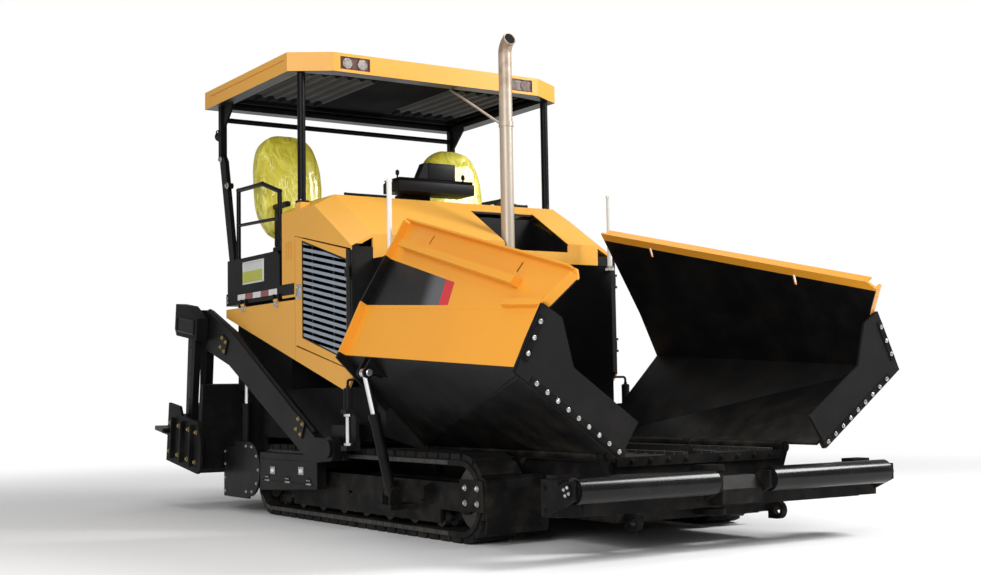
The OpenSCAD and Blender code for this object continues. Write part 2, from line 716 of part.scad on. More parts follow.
beam_low = 265;
beam_high = 420;
module push_beam() {
  back = push_y + push_r;
  cheek_t = 24;
  saddle_x = 170;
  cheek_y = push_y - 50;
  cheek_z = push_z + 55;
  end_x = push_out + gap + cheek_t;
  low = belly_z + 60 + gap;
  high = tunnel_z - 60 - gap;
  color([0.1, 0.1, 0.1]) {
    difference() {
      union() {
        along_x(150 - push_out, push_out - 150) polygon([[back + 20, beam_low], [back + 150, beam_low],
          [back + 150, beam_high - 60], [back + 90, beam_high], [back + 20, beam_high]]);
        block([3 - hub_r, back + 100, low], [hub_r - 3, hub_y, high]);
        rod_z(low, high, [0, hub_y], hub_r);
        // Saddle in front of the hub
        along_x(-saddle_x, saddle_x) polygon([[back - 90, beam_low + 20], [back + 60, beam_low + 4],
          [back + 60, beam_high + 40], [back - 20, beam_high + 40], [back - 90, beam_high - 40]]);
      }
      rod_z(0, 2 * high, [0, hub_y], hub_pin_r + fit);
    }
    both_sides() {
      for (x = [push_in - gap - cheek_t, push_out + gap]) along_x(x, x + cheek_t)
        polygon([[cheek_y, push_z - 50], [back + 110, beam_low + 5], [back + 110, beam_high - 5],
          [push_y + 30, cheek_z], [cheek_y, cheek_z]]);
      // End box behind the roller's outer end
      block([push_out - 200, back + 26, beam_low + 3], [end_x - 4, back + 200, beam_high + 70]);
      block([push_out - 150, back + 60, beam_high + 60], [push_out + gap, back + 170, beam_high + 96]);
      rod_x(push_in - gap - 10, push_out + gap + 10, [push_y, push_z], push_pin_r);
      rod_x(end_x - 4, end_x + 14, [push_y, push_z], push_pin_r + 16);
    }
  }
}
module push_roller() {
  color([0.16, 0.16, 0.17]) difference() {
    union() {
      rod_x(push_in + 12, push_out - 12, [push_y, push_z], push_r);
      rod_x(push_in, push_out, [push_y, push_z], push_r - 14);
    }
    rod_x(push_in - 1, push_out + 1, [push_y, push_z], push_pin_r + fit);
  }
}

hood_path = [[hood_front, wall_top - 10], [hood_front, shoulder_z], [crest_front, crest_z],
  [hood_rear, crest_z], [hood_rear, platform_z]];
// The cut in the hood's slope where the exhaust leaves
well_in = exhaust_at.x - 90;
well_out = exhaust_at.x + 560;
well_rear = crest_front - 120;
well_z = shoulder_z - 70;
module hood() {
  seam = 8;
  seam_end = 60;
  wall_low = well_z - 14;
  wall_high = well_z + 310;
  color([0.93, 0.68, 0.25]) {
    difference() {
      along_x(-hood_x, hood_x) polygon(sheet(hood_path, 0, -panel_t));
      block([well_in, hood_front - 1, well_z], [well_out, well_rear, crest_z + 10]);
      // Seams between the hood's lids
      for (x = [-hood_x / 3, hood_x / 3]) block([x - seam / 2, crest_front + seam_end, crest_z - seam],
        [x + seam / 2, hood_rear - seam_end, crest_z + 1]);
    }
    // Walls of the exhaust's recess
    for (x = [well_in - 8, well_out - 8]) along_x(x, x + 16)
      polygon([[hood_front + 2, wall_low], [well_rear + 8, wall_low], [well_rear + 8, wall_high],
        [hood_front + 2, shoulder_z - 12]]);
    difference() {
      block([well_in - 4, hood_front + 4, well_z - 12], [well_out + 4, well_rear + 6, well_z + 2]);
      rod_z(well_z - 20, well_z + 10, exhaust_at, exhaust_r + gap);
    }
    block([well_in - 4, well_rear - 8, well_z - 10], [well_out + 4, well_rear + 6, well_z + 330]);
  }
}

module shoulder(drop, t) {
  edge = 25;
  translate([0, 0, -drop]) along_x(0, t) polygon([[hood_front, shoulder_z - edge],
    [hood_front, shoulder_z], [crest_front, crest_z], [hood_rear, crest_z],
    [hood_rear, crest_z - edge], [crest_front, crest_z - edge]]);
}
door_front = hood_front + 30;
door_low = [[door_front, edge_z(door_front) + 190], [door_rear, edge_z(door_rear) + 130]];
door_high = [[door_front, shoulder_z - shoulder_drop - 30], [door_rear, shoulder_z + 70]];
module side_outline() {
  polygon([[hood_front, edge_z(hood_front) + 150], [tip_y, tip_z], [door_rear, edge_z(door_rear)],
    [door_rear, platform_low - 5], [hood_rear, platform_low - 5], [hood_rear, crest_z - shoulder_drop],
    [crest_front, crest_z - shoulder_drop], [hood_front, shoulder_z - shoulder_drop]]);
}
module door_outline(grow) {
  polygon([door_low[0] + [-grow, -grow], door_low[1] + [grow, -grow], door_high[1] + [grow, grow],
    door_high[0] + [-grow, grow]]);
}
module door_window(shrink) {
  polygon([door_low[0] + [70 + shrink, 70 + shrink], door_low[1] + [-120 - shrink, 50 + shrink],
    door_high[1] + [-120 - shrink, -40 - shrink], door_high[0] + [70 + shrink, -60 - shrink]]);
}
hinge_x = body_x + 14;
door_hinge = [hinge_x, door_front];
door_hinge_z = [1400, 1950];
post_at = [body_x - 40, 490];
post_foot = crest_z - shoulder_drop + 60;
module side_panel() {
  pin_r = 8;
  color([0.85, 0.56, 0.2]) {
    along_x(body_x - panel_t, body_x) difference() {
      side_outline();
      door_outline(gap + 4);
      // Vent slots behind the grille
      for (i = [0:2]) translate([door_rear + 70 + i * 46, shoulder_z - 110]) square([18, 150]);
    }
    hull() {
      translate([hood_x, 0, 0]) shoulder(0, 1);
      translate([body_x - 1, 0, 0]) shoulder(shoulder_drop, 1);
    }
    block([hood_x, hood_front, edge_z(hood_front) + 160],
      [body_x, hood_front + 14, shoulder_z - shoulder_drop]);
    // Pad under the roof's front post
    block([post_at.x - 45, post_at.y - 55, crest_z - shoulder_drop - 40],
      [body_x - 2, post_at.y + 55, post_foot]);
    // Hinge pins of the grille door
    for (z = door_hinge_z) {
      rod_z(z - 60, z + 60, door_hinge, pin_r);
      for (e = [z - 60, z + 40]) block([body_x - 4, hood_front + 3, e], [hinge_x + 8, door_front, e + 20]);
    }
  }
}
module side_panels() { both_sides() side_panel(); }
module grille_door() {
  color([0.85, 0.56, 0.2]) {
    along_x(body_x - panel_t, body_x) difference() { door_outline(0); door_window(0); }
    for (z = door_hinge_z) difference() {
      union() {
        rod_z(z - 36, z + 36, door_hinge, 12);
        block([body_x - 2, door_hinge.y + 6, z - 36], [hinge_x + 5, door_hinge.y + 60, z + 36]);
      }
      rod_z(z - 100, z + 100, door_hinge, 8 + fit);
    }
  }
}
// Louvre slats between two upright bars, set in the door's window
module grille() {
  slope = (door_high[1].y - door_high[0].y - 20) / (door_rear - door_front);
  low = door_low[0].y + 40 - 0.5 * slat_h;
  step = (door_high[0].y - low - 30) / (slats - 1);
  color([0.62, 0.65, 0.68]) {
    along_x(body_x - 16, body_x - 4) intersection() {
      door_window(0);
      union() {
        for (i = [0:slats + 2], z = [low + i * step])
          polygon([[door_front, z], [door_rear, z + slope * (door_rear - door_front)],
            [door_rear, z + slope * (door_rear - door_front) + slat_h], [door_front, z + slat_h]]);
        difference() { door_window(0); door_window(8); }
      }
    }
    along_x(body_x - panel_t, body_x - 14) intersection() {
      door_window(0);
      for (y = [door_front + 300, door_rear - 300]) translate([y, 1000]) square([20, 1500]);
    }
  }
}

flap_hinge = [body_x + 8, platform_low - 12];
flap_hinge_y = [900, 1600];
module flap() {
  top = platform_low - 30;
  color([0.85, 0.56, 0.2]) {
    along_x(body_x - panel_t, body_x) polygon([[door_rear + gap, edge_z(door_rear + gap)],
      [platform_rear, edge_z(platform_rear)], [platform_rear, top], [door_rear + gap, top]]);
    for (y = flap_hinge_y) difference() {
      union() {
        rod_y(y - 36, y + 36, flap_hinge, 13);
        block([body_x - 2, y - 36, flap_hinge.y - 50], [flap_hinge.x + 4, y + 36, flap_hinge.y - 5]);
      }
      rod_y(y - 100, y + 100, flap_hinge, 7 + fit);
    }
  }
}

module platform() {
  ear = flap_hinge.x + 8;
  locker_front = hood_rear + 50;
  locker_rear = platform_rear - 30;
  color([0.09, 0.09, 0.09]) {
    block([-body_x, hood_rear, platform_low], [body_x, platform_rear, platform_z]);
    both_sides() {
      along_x(locker_in, body_x) polygon([[locker_front, platform_z - weld], [locker_rear, platform_z - weld],
        [locker_rear, locker_z], [locker_front + 50, locker_z], [locker_front, locker_z - 50]]);
      for (y = flap_hinge_y) {
        rod_y(y - 60, y + 60, flap_hinge, 7);
        for (e = [y - 60, y + 42]) {
          block([body_x - weld, e, platform_low + 2], [ear, e + 18, platform_low + 40]);
          block([body_x + 1, e, flap_hinge.y - 7], [ear, e + 18, platform_low + 38]);
        }
      }
    }
  }
}

module engine() {
  x = 650;
  color([0.25, 0.25, 0.26]) block([-x, engine_front, deck_top], [x, hood_rear - 160, engine_top]);
}

module exhaust() {
  bend = 120;
  turn = 70;
  top = exhaust_z - (bend + exhaust_r) * sin(turn);
  clamp_z = roof_low - 450;
  stay_r = 10;
  outlet = engine_top - 80;
  color([0.9, 0.86, 0.75]) {
    rod_y(exhaust_at.y, engine_front, [exhaust_at.x, outlet], exhaust_r);
    rod_z(outlet - exhaust_r, top, exhaust_at, exhaust_r);
    translate([exhaust_at.x, exhaust_at.y - bend, top]) rotate([90, 0, 90])
      rotate_extrude(angle = turn) translate([bend, 0]) circle(exhaust_r);
    // Clamp of the stay to the roof
    rod_z(clamp_z - 22, clamp_z + 22, exhaust_at, exhaust_r + 7);
    strut([exhaust_at.x, exhaust_at.y + exhaust_r - 4, clamp_z],
      [exhaust_at.x, roof_front + 200, roof_low + 12], stay_r);
  }
}

roof_cut = [330, 200];
module roof_outline(inset) {
  x = roof_x - inset;
  front = roof_front + inset;
  polygon([[-x, roof_front + roof_cut.y], [roof_cut.x - x, front], [x - roof_cut.x, front],
    [x, roof_front + roof_cut.y], [x, roof_rear - inset], [-x, roof_rear - inset]]);
}
lamp_x = [760, 900];
lamp_r = 46;
lining_z = roof_low + 70;
module roof() {
  lip = 130;
  groove = 8;
  color([0.93, 0.68, 0.25]) difference() {
    along_z(roof_low, roof_z) roof_outline(0);
    along_z(roof_low + 40, roof_z - roof_t) roof_outline(roof_t);
    along_z(roof_low - 1, roof_low + 41) roof_outline(lip);
    both_sides() {
      // Groove along the side fascia, and a recess for each pair of lamps
      block([roof_x - groove, roof_front + roof_cut.y + 60, roof_z - 64],
        [roof_x + 1, roof_rear - 120, roof_z - 52]);
      block([roof_x - groove, roof_rear - 128, roof_low + 10], [roof_x + 1, roof_rear - 116, roof_z - 50]);
      block([lamp_x[0] - 70, roof_front - 1, roof_low + 26], [lamp_x[1] + 70, roof_front + 16, roof_z - 26]);
    }
  }
}
// Ribbed ceiling under the roof, with its cross tubes
module roof_lining() {
  x = roof_x - roof_t - 100;
  front = roof_front + roof_cut.y + 60;
  rear = roof_rear - 170;
  rib = 46;
  rib_step = 120;
  ribs = 7;
  color([0.3, 0.3, 0.3]) {
    block([-x, front, lining_z], [x, rear, lining_z + 16]);
    both_sides() {
      for (i = [1:ribs]) translate([x - i * rib_step, 0, lining_z]) along_y(front + 60, rear - 240)
        polygon([[0, 2], [rib, 2], [rib - 12, -rib / 2], [12, -rib / 2]]);
      block([x - 30, front + 30, lining_z + 12], [x - 10, rear - 30, roof_z - roof_t]);
    }
    block([-x, rear - 100, roof_low + 42], [x, rear - 60, lining_z + 2]);
  }
}
module roof_posts() {
  knee = roof_low - 480;
  x = body_x;
  foot_y = [1850, 1960];
  post_y = roof_rear - 160;
  gusset = 220;
  color([0.1, 0.1, 0.1]) both_sides() {
    // Front post with its foot
    rod_z(post_foot, roof_low, post_at, 34);
    block([post_at.x - 42, post_at.y - 50, post_foot], [post_at.x + 36, post_at.y + 50, post_foot + 16]);
    for (s = [-1, 1]) along_x(post_at.x - 6, post_at.x + 6)
      polygon([[post_at.y + s * 30, post_foot + 12], [post_at.y + s * 48, post_foot + 12],
        [post_at.y + s * 30, post_foot + 150]]);
    // Rear post, its knee plate and its gusset under the roof
    block([x - 60, roof_rear - 170, knee - 10], [x, roof_rear - 110, roof_low]);
    along_x(x - 50, x - 10) polygon([[foot_y[0], locker_z], [foot_y[1], locker_z], [roof_rear - 112, knee],
      [roof_rear - 170, knee + 50], [roof_rear - 240, knee - 30]]);
    along_x(x - 40, x - 20) polygon([[post_y, roof_low - gusset], [post_y, roof_low],
      [post_y - gusset, roof_low], [post_y - gusset, roof_low - 30]]);
    for (p = [[roof_rear - 150, knee - 4], [1990, knee - 270]]) rod_x(x - 56, x - 4, p, 26);
    // Work lamp's bracket
    block([x - 45, roof_rear - 114, roof_low - 220], [x - 15, roof_rear - 60, roof_low - 200]);
  }
}
module roof_lamps() {
  color([0.9, 0.9, 0.9]) both_sides() {
    for (x = lamp_x) rod_y(roof_front + 2, roof_front + 16, [x, roof_z - roof_h / 2], lamp_r);
    rod_y(roof_rear - 110, roof_rear - 60, [body_x - 30, roof_low - 255], 35);
  }
}

module seats() {
  w = 480;
  in = locker_in - 25 - w;
  color([0.85, 0.72, 0.2]) both_sides() translate([in, 0, platform_z]) {
    block([60, 1100, 0], [w - 60, 1400, 330]);
    block([0, 1020, 324], [w, 1520, 560]);
    translate([20, 1420, 540]) rotate([-8, 0, 0]) cube([w - 40, 130, 840]);
  }
}
module console() {
  desk = crest_z + 40;
  back = hood_rear - 240;
  depth = 420;
  color([0.1, 0.1, 0.1]) {
    // Pedestal on the platform behind the hood
    block([-90, hood_rear + 20, platform_z], [170, hood_rear + 160, desk + 10]);
    along_x(-370, 490) polygon([[back, desk + 40], [back + 60, desk], [back + depth, desk],
      [back + depth, desk + 80], [back + 90, desk + 180], [back, desk + 180]]);
    // Display with its hood
    along_x(20, 310) polygon([[back + 20, desk + 170], [back + 120, desk + 160],
      [back + 150, desk + 340], [back + 20, desk + 360]]);
    for (x = [-330, 430]) rod_z(desk + 60, desk + 190, [x, back + 330], 16);
  }
}
module handrails() {
  x = body_x - 30;
  top = platform_z + 920;
  front = hood_rear + 90;
  rear = platform_rear - 220;
  low_rail = crest_z + 70;
  color([0.1, 0.1, 0.1]) {
    both_sides() {
      rail([[x, rear, locker_z], [x, rear, top + 10], [x, 1260, top], [x, front + 17, top - 110],
        [x, front, locker_z + 110], [x, front, locker_z]], 20);
      strut([x, rear, top - 310], [x, front + 7, top - 340], 15);
    }
    // Low rails on the crest
    for (span = [[-800, -400], [720, 1060]], y = [hood_rear - 250])
      rail([[span[0], y, crest_z], [span[0], y, low_rail], [span[1], y, low_rail],
        [span[1], y, crest_z]], 12);
  }
}
module marker_rods() {
  x = hood_x - 32;
  color([0.9, 0.9, 0.88]) both_sides() {
    block([x - 28, wall_y - 50, wall_top - 40], [x + 27, wall_y, wall_top - 20]);
    rod_z(wall_top - 30, crest_z + 10, [x, wall_y - 27], 20);
  }
}

module screed() {
  x = screed_x;
  board = 2130;
  board_t = 80;
  sole_z = 10;
  rear = 2780;
  rib_rear = 2252;
  gate_z = sole_z + 4;
  gate_rear = rear + 60;
  box_rear = rear + 70;
  color([0.12, 0.12, 0.12]) lifted() {
    along_x(-x, x) polygon([[board - board_t, 60], [board - 20, sole_z], [rear, sole_z], [rear, screed_top],
      [board, screed_top], [board, board_top], [board - board_t, board_top]]);
    // Cross box between the tow arms, and ribs behind the mouldboard
    block([20 - arm_x, 2250, screed_top - weld], [arm_x - 20, 2420, 700]);
    for (i = [-3:3]) along_x(i * 380 - 10, i * 380 + 10)
      polygon([[board - 4, screed_top - 4], [rib_rear, screed_top - 4], [rib_rear, 690],
        [board - 4, board_top - 20]]);
    both_sides() {
      // End gate with its ribs, and the side console on its post
      along_x(x - 4, x + 22) polygon([[1990, 70], [2050, gate_z], [gate_rear, gate_z], [gate_rear, 560],
        [2560, 560], [2500, 480], [2100, 480], [1990, 300]]);
      for (y = [2180, 2420, 2660]) block([x + 18, y, 60], [x + 56, y + 24, 440]);
      block([arm_out + 12, 2420, screed_top - weld], [arm_out + 72, 2500, 1240]);
      along_x(arm_out + 8, x - 6) polygon([[2290, 1200], [rear + 20, 1200], [box_rear, 1260],
        [box_rear, 1495], [2560, 1495], [2290, 1400]]);
      rod_x(x + 10, x + 90, [2790, 300], 22);
    }
  }
}
module tow_arms() {
  mid_x = arm_x + arm_t / 2;
  // Bends of the arm's top edge, from the front to the rear
  arm_top = [[-14, 650], [1740, 1315], [2376, 1473]];
  color([0.1, 0.1, 0.1]) both_sides() {
    lifted() {
      along_x(arm_x, arm_out) difference() {
        union() {
          translate([tow_y, tow_z]) circle(95);
          polygon([[tow_y - 40, tow_z - 86], [40, 440], [1773, 1028], [2318, 1108], [2300, screed_top],
            [2760, screed_top], [2800, 1440], arm_top[2], arm_top[1], arm_top[0],
            [tow_y - 40, tow_z + 86]]);
        }
        translate([tow_y, tow_z]) circle(tow_pin_r + fit);
        polygon([[2420, screed_top + 120], [2640, screed_top + 120], [2680, 1240], [2480, 1260]]);
      }
      // Tube along the top of the arm, and bolted pads
      strut([mid_x, 60, 664], [mid_x, arm_top[1].x + 5, arm_top[1].y - 15], 30);
      strut([mid_x, arm_top[1].x - 5, arm_top[1].y - 19],
        [mid_x, arm_top[2].x - 6, arm_top[2].y - 15], 28);
      for (p = [[250, 700], [1900, 1200]]) translate([0, p.x, p.y]) rotate([20, 0, 0])
        block([arm_out - 3, -70, -70], [arm_out + 12, 70, 70]);
    }
    rod_x(lift_x - 45, arm_x + 10, lift_eye, foot_r);
  }
}
module footboard() {
  in = 2780;
  w = screed_x - 50;
  bays = 10;
  bay = (2 * w - 120) / bays;
  color([0.15, 0.15, 0.15]) lifted() {
    difference() {
      block([-w, in, foot_z], [w, foot_rear, foot_z + 40]);
      for (i = [0:bays - 1]) translate([60 - w + i * bay, 0, 0])
        block([20, in + 90, foot_z - 1], [bay - 20, foot_rear - 60, foot_z + 41]);
    }
    for (x = [-1200, -400, 400, 1200]) along_x(x - 15, x + 15)
      polygon([[in, 100], [in + 60, 100], [in + 420, foot_z - 10], [in + 420, foot_z + 1], [in, foot_z + 1]]);
  }
}

module auger() {
  low = 150;
  high = deck_x - side_t - gap;
  length = high - low;
  tube_r = 55;
  blade_t = 18;
  color([0.3, 0.3, 0.3]) translate([low, auger_y, auger_z]) rotate([0, 90, 0]) difference() {
    union() {
      cylinder(r = tube_r, h = length);
      linear_extrude(height = length, twist = -360 * length / auger_pitch, slices = 42, segments = 4)
        translate([tube_r - 15, -blade_t / 2]) square([auger_r - tube_r + 15, blade_t]);
    }
    translate([0, 0, -1]) cylinder(r = shaft_r + fit, h = length + 2);
  }
}
module auger_gearbox() {
  color([0.12, 0.12, 0.12]) {
    block([-100, auger_y - 160, auger_z - 130], [100, auger_y + 120, deck_z]);
    both_sides() rod_x(90, deck_x - side_t, [auger_y, auger_z], shaft_r);
  }
}

level_y = tow_y - 240;
level_x = arm_x + 30;
level_r = 18;
module tow_points() {
  in = arm_x - gap;
  color([0.1, 0.1, 0.1]) both_sides() {
    block([deck_x, tow_y - 110, deck_z + 20], [in, tow_y + 110, deck_z + 130]);
    block([in - 40, tow_y - 90, tow_z - 90], [in, tow_y + 90, deck_z + 30]);
    rod_x(in - 20, arm_out + 20, [tow_y, tow_z], tow_pin_r);
    rod_x(arm_out + gap, arm_out + 26, [tow_y, tow_z], tow_pin_r + 30);
    // Arm to the levelling cylinder, its foot and its barrel
    block([in - 38, level_y - 50, deck_z - 60], [in - 2, tow_y - 80, deck_z + 28]);
    block([in - 20, level_y - 45, deck_z - 58], [level_x + 40, level_y + 45, deck_z - 22]);
    block([in - 20, level_y - 45, deck_z + 220], [level_x + 40, level_y + 45, deck_z + 250]);
    block([in - 34, level_y - 40, deck_z + 20], [in - 6, level_y + 40, deck_z + 246]);
    rod_z(deck_z + 240, deck_z + 400, [level_x, level_y], 34);
  }
}
module levelling_rods() {
  color([0.8, 0.8, 0.82]) both_sides() rod_z(deck_z - 22, deck_z + 220, [level_x, level_y], level_r);
}

chassis();
track_frames();
right_side() track();  // track_right
track();  // track_left
track_wheels();
track_guards();
side_boxes();
hopper_floor();
conveyors();
hopper_wall();
hood();
side_panels();
right_side() grille_door();  // grille_door_right
grille_door();  // grille_door_left
right_side() grille();  // grille_right
grille();  // grille_left
right_side() flap();  // flap_right
flap();  // flap_left
platform();
engine();
exhaust();
roof();
roof_lining();
roof_posts();
roof_lamps();
seats();
console();
handrails();
marker_rods();
push_beam();
right_side() push_roller();  // push_roller_right
push_roller();  // push_roller_left
right_side() wing();  // wing_right
wing();  // wing_left
right_side() wing_apron();  // wing_apron_right
wing_apron();  // wing_apron_left
right_side() wing_barrel();  // wing_barrel_right
wing_barrel();  // wing_barrel_left
right_side() wing_rod();  // wing_rod_right
wing_rod();  // wing_rod_left
screed();
tow_arms();
footboard();
right_side() auger();  // auger_right
auger();  // auger_left
auger_gearbox();
right_side() lift_barrel();  // lift_barrel_right
lift_barrel();  // lift_barrel_left
right_side() lift_rod();  // lift_rod_right
lift_rod();  // lift_rod_left
tow_points();
levelling_rods();
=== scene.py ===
import functools
import math

import bmesh
import bpy
from mathutils import Matrix, Vector


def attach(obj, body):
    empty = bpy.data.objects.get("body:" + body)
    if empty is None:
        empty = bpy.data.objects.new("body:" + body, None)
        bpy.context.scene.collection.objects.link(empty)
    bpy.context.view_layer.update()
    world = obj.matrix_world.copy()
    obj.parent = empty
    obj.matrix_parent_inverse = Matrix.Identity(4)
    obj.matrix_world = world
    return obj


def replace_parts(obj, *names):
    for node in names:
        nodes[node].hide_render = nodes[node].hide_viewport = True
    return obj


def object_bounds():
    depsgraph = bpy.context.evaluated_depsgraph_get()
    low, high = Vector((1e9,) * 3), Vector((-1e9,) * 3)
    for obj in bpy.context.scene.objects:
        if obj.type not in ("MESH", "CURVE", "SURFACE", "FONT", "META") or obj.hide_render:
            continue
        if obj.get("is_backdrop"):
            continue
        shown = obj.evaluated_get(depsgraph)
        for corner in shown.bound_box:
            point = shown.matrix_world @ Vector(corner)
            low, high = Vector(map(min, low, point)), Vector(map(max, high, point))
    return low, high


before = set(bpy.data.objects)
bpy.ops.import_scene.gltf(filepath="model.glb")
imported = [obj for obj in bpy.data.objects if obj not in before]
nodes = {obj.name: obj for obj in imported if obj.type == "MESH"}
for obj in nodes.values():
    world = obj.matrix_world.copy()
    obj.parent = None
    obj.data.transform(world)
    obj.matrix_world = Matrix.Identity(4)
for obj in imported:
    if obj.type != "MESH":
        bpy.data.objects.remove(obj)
cadLow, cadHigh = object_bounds()
print("stage: frame loaded,", len(nodes), "nodes")


# A dictionary of sizes that can be read with a dot
class Form(dict):
    __getattr__ = dict.__getitem__


# The machine's main lines in metres, as the part's own source has them
machine = Form(
    bodyX=1.275, platformZ=1.94, lockerZ=2.24, roofFront=0.29, roofZ=3.85, trackIn=0.86, trackOut=1.21,
    trackR=0.30, bandR=0.258, boreR=0.222, idlerY=-1.89, sprocketY=1.18, armOut=1.38, towY=-0.26, towZ=0.60,
    liftDeg=7.5,
)
sides = (("right", -1), ("left", 1))
moveTo = Matrix.Translation


def turnBy(degrees, axis):
    return Matrix.Rotation(math.radians(degrees), 4, axis)


# The parked screed hangs turned up about the tow point
liftTurn = (moveTo((0, machine.towY, machine.towZ)) @ turnBy(machine.liftDeg, "X")
            @ moveTo((0, -machine.towY, -machine.towZ)))


# Modelling helpers: each starts from a primitive and leaves its object at the origin
def clearSelection():
    if bpy.context.object and bpy.context.object.mode != "OBJECT":
        bpy.ops.object.mode_set(mode="OBJECT")
    bpy.ops.object.select_all(action="DESELECT")


def pick(*pieces):
    clearSelection()
    for piece in pieces:
        piece.select_set(True)
    bpy.context.view_layer.objects.active = pieces[0]


def settle(piece):
    pick(piece)
    bpy.ops.object.transform_apply(location=True, rotation=True, scale=True)
    return piece


def editOn(piece, kind="FACE", action="DESELECT"):
    pick(piece)
    bpy.ops.object.mode_set(mode="EDIT")
    bpy.ops.mesh.select_mode(type=kind)
    bpy.ops.mesh.select_all(action=action)


def editOff():
    bpy.ops.object.mode_set(mode="OBJECT")


# Edit mode with the faces that point one way selected
def editFaces(piece, way):
    editOn(piece)
    mesh = bmesh.from_edit_mesh(piece.data)
    for face in mesh.faces:
        face.select_set(face.normal.dot(Vector(way)) > 0.9)
    bmesh.update_edit_mesh(piece.data)


# A panel sunk inside a rim
def sunk(piece, way, rim, wall, depth):
    editFaces(piece, way)
    bpy.ops.mesh.inset(thickness=rim, depth=0)
    bpy.ops.mesh.inset(thickness=wall, depth=-depth)
    editOff()
    return piece


def tapered(piece, way, shares):
    editFaces(piece, way)
    bpy.ops.transform.resize(value=(*shares, 1))
    editOff()
    return piece


def facesOut(piece):
    editOn(piece, action="SELECT")
    bpy.ops.mesh.normals_make_consistent(inside=False)
    editOff()
    return piece


def block(low, high, bevel=0.0, segments=2):
    low, high = Vector(map(min, low, high)), Vector(map(max, low, high))
    clearSelection()
    bpy.ops.mesh.primitive_cube_add(size=1, location=(low + high) / 2)
    piece = bpy.context.object
    piece.scale = high - low
    settle(piece)
    if bevel:
        editOn(piece, "EDGE", "SELECT")
        bpy.ops.mesh.bevel(offset=bevel, segments=segments, affect="EDGES")
        editOff()
    return piece


# A turned piece along Z: a disc extruded and scaled from one (share of r, height) to the next
def turned(steps, vertices, r=1.0):
    clearSelection()
    share, height = steps[0]
    bpy.ops.mesh.primitive_circle_add(vertices=vertices, radius=r * share, fill_type="NGON",
                                      location=(0, 0, height))
    piece = settle(bpy.context.object)
    editOn(piece, action="SELECT")
    for nextShare, nextHeight in steps[1:]:
        bpy.ops.mesh.extrude_region_move(TRANSFORM_OT_translate={"value": (0, 0, nextHeight - height)})
        grow = nextShare / share
        bpy.ops.transform.resize(value=(grow, grow, 1), center_override=(0, 0, nextHeight))
        share, height = nextShare, nextHeight
    editOff()
    return facesOut(piece)


def smoothed(piece, degrees=35):
    pick(piece)
    bpy.ops.object.shade_smooth_by_angle(angle=math.radians(degrees))
    return piece


def paint(piece, material):
    piece.data.materials.clear()
    piece.data.materials.append(material)
    return piece


def tube(points, radius, cyclic=False, rounds=6):
    clearSelection()
    bpy.ops.curve.primitive_nurbs_path_add()
    piece = bpy.context.object
    piece.data.splines.clear()
    line = piece.data.splines.new("POLY")
    line.points.add(len(points) - 1)
    for spot, point in zip(line.points, points):
        spot.co = (*point, 1)
    line.use_cyclic_u = cyclic
    piece.data.bevel_depth = radius
    piece.data.bevel_resolution = rounds
    piece.data.use_fill_caps = True
    bpy.ops.object.convert(target="MESH")
    return smoothed(settle(bpy.context.object), 50)


# Points round the bends of a path, so that a tube turns in arcs
def roundPath(points, bend, steps=5):
    points = [Vector(p) for p in points]
    path = [points[0]]
    for before, spot, after in zip(points, points[1:], points[2:]):
        reach = min(bend, (before - spot).length * 0.45, (after - spot).length * 0.45)
        start = spot + (before - spot).normalized() * reach
        end = spot + (after - spot).normalized() * reach
        for i in range(steps + 1):
            t = i / steps
            path.append(start * (1 - t) ** 2 + spot * 2 * t * (1 - t) + end * t ** 2)
    return path + [points[-1]]


def facing(at, outward, turn=0.0, size=1.0):
    swing = Vector(outward).to_track_quat("Z", "Y").to_matrix().to_4x4()
    return moveTo(at) @ swing @ turnBy(turn, "Z") @ Matrix.Scale(size, 4)


def copyAt(master, place):
    twin = master.copy()
    twin.data = master.data.copy()
    twin.data.transform(place)
    bpy.context.scene.collection.objects.link(twin)
    return twin


# A turned piece in its paint, modelled once and copied to its places
def lathe(steps, vertices, places, material, r=1.0, degrees=35):
    master = paint(smoothed(turned(steps, vertices, r), degrees), material)
    copies = [copyAt(master, place) for place in places]
    bpy.data.objects.remove(master)
    return copies


# A row of copies by an applied array
def rows(piece, count, step):
    pick(piece)
    more = piece.modifiers.new("rows", "ARRAY")
    more.use_relative_offset = False
    more.use_constant_offset = True
    more.constant_offset_displace = step
    more.count = count
    bpy.ops.object.modifier_apply(modifier="rows")


def joined(parts):
    pick(*parts)
    if len(parts) > 1:
        bpy.ops.object.join()
    return bpy.context.view_layer.objects.active


def gather(name, parts, body):
    piece = joined(parts)
    piece.name = piece.data.name = name
    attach(piece, body)
    return piece


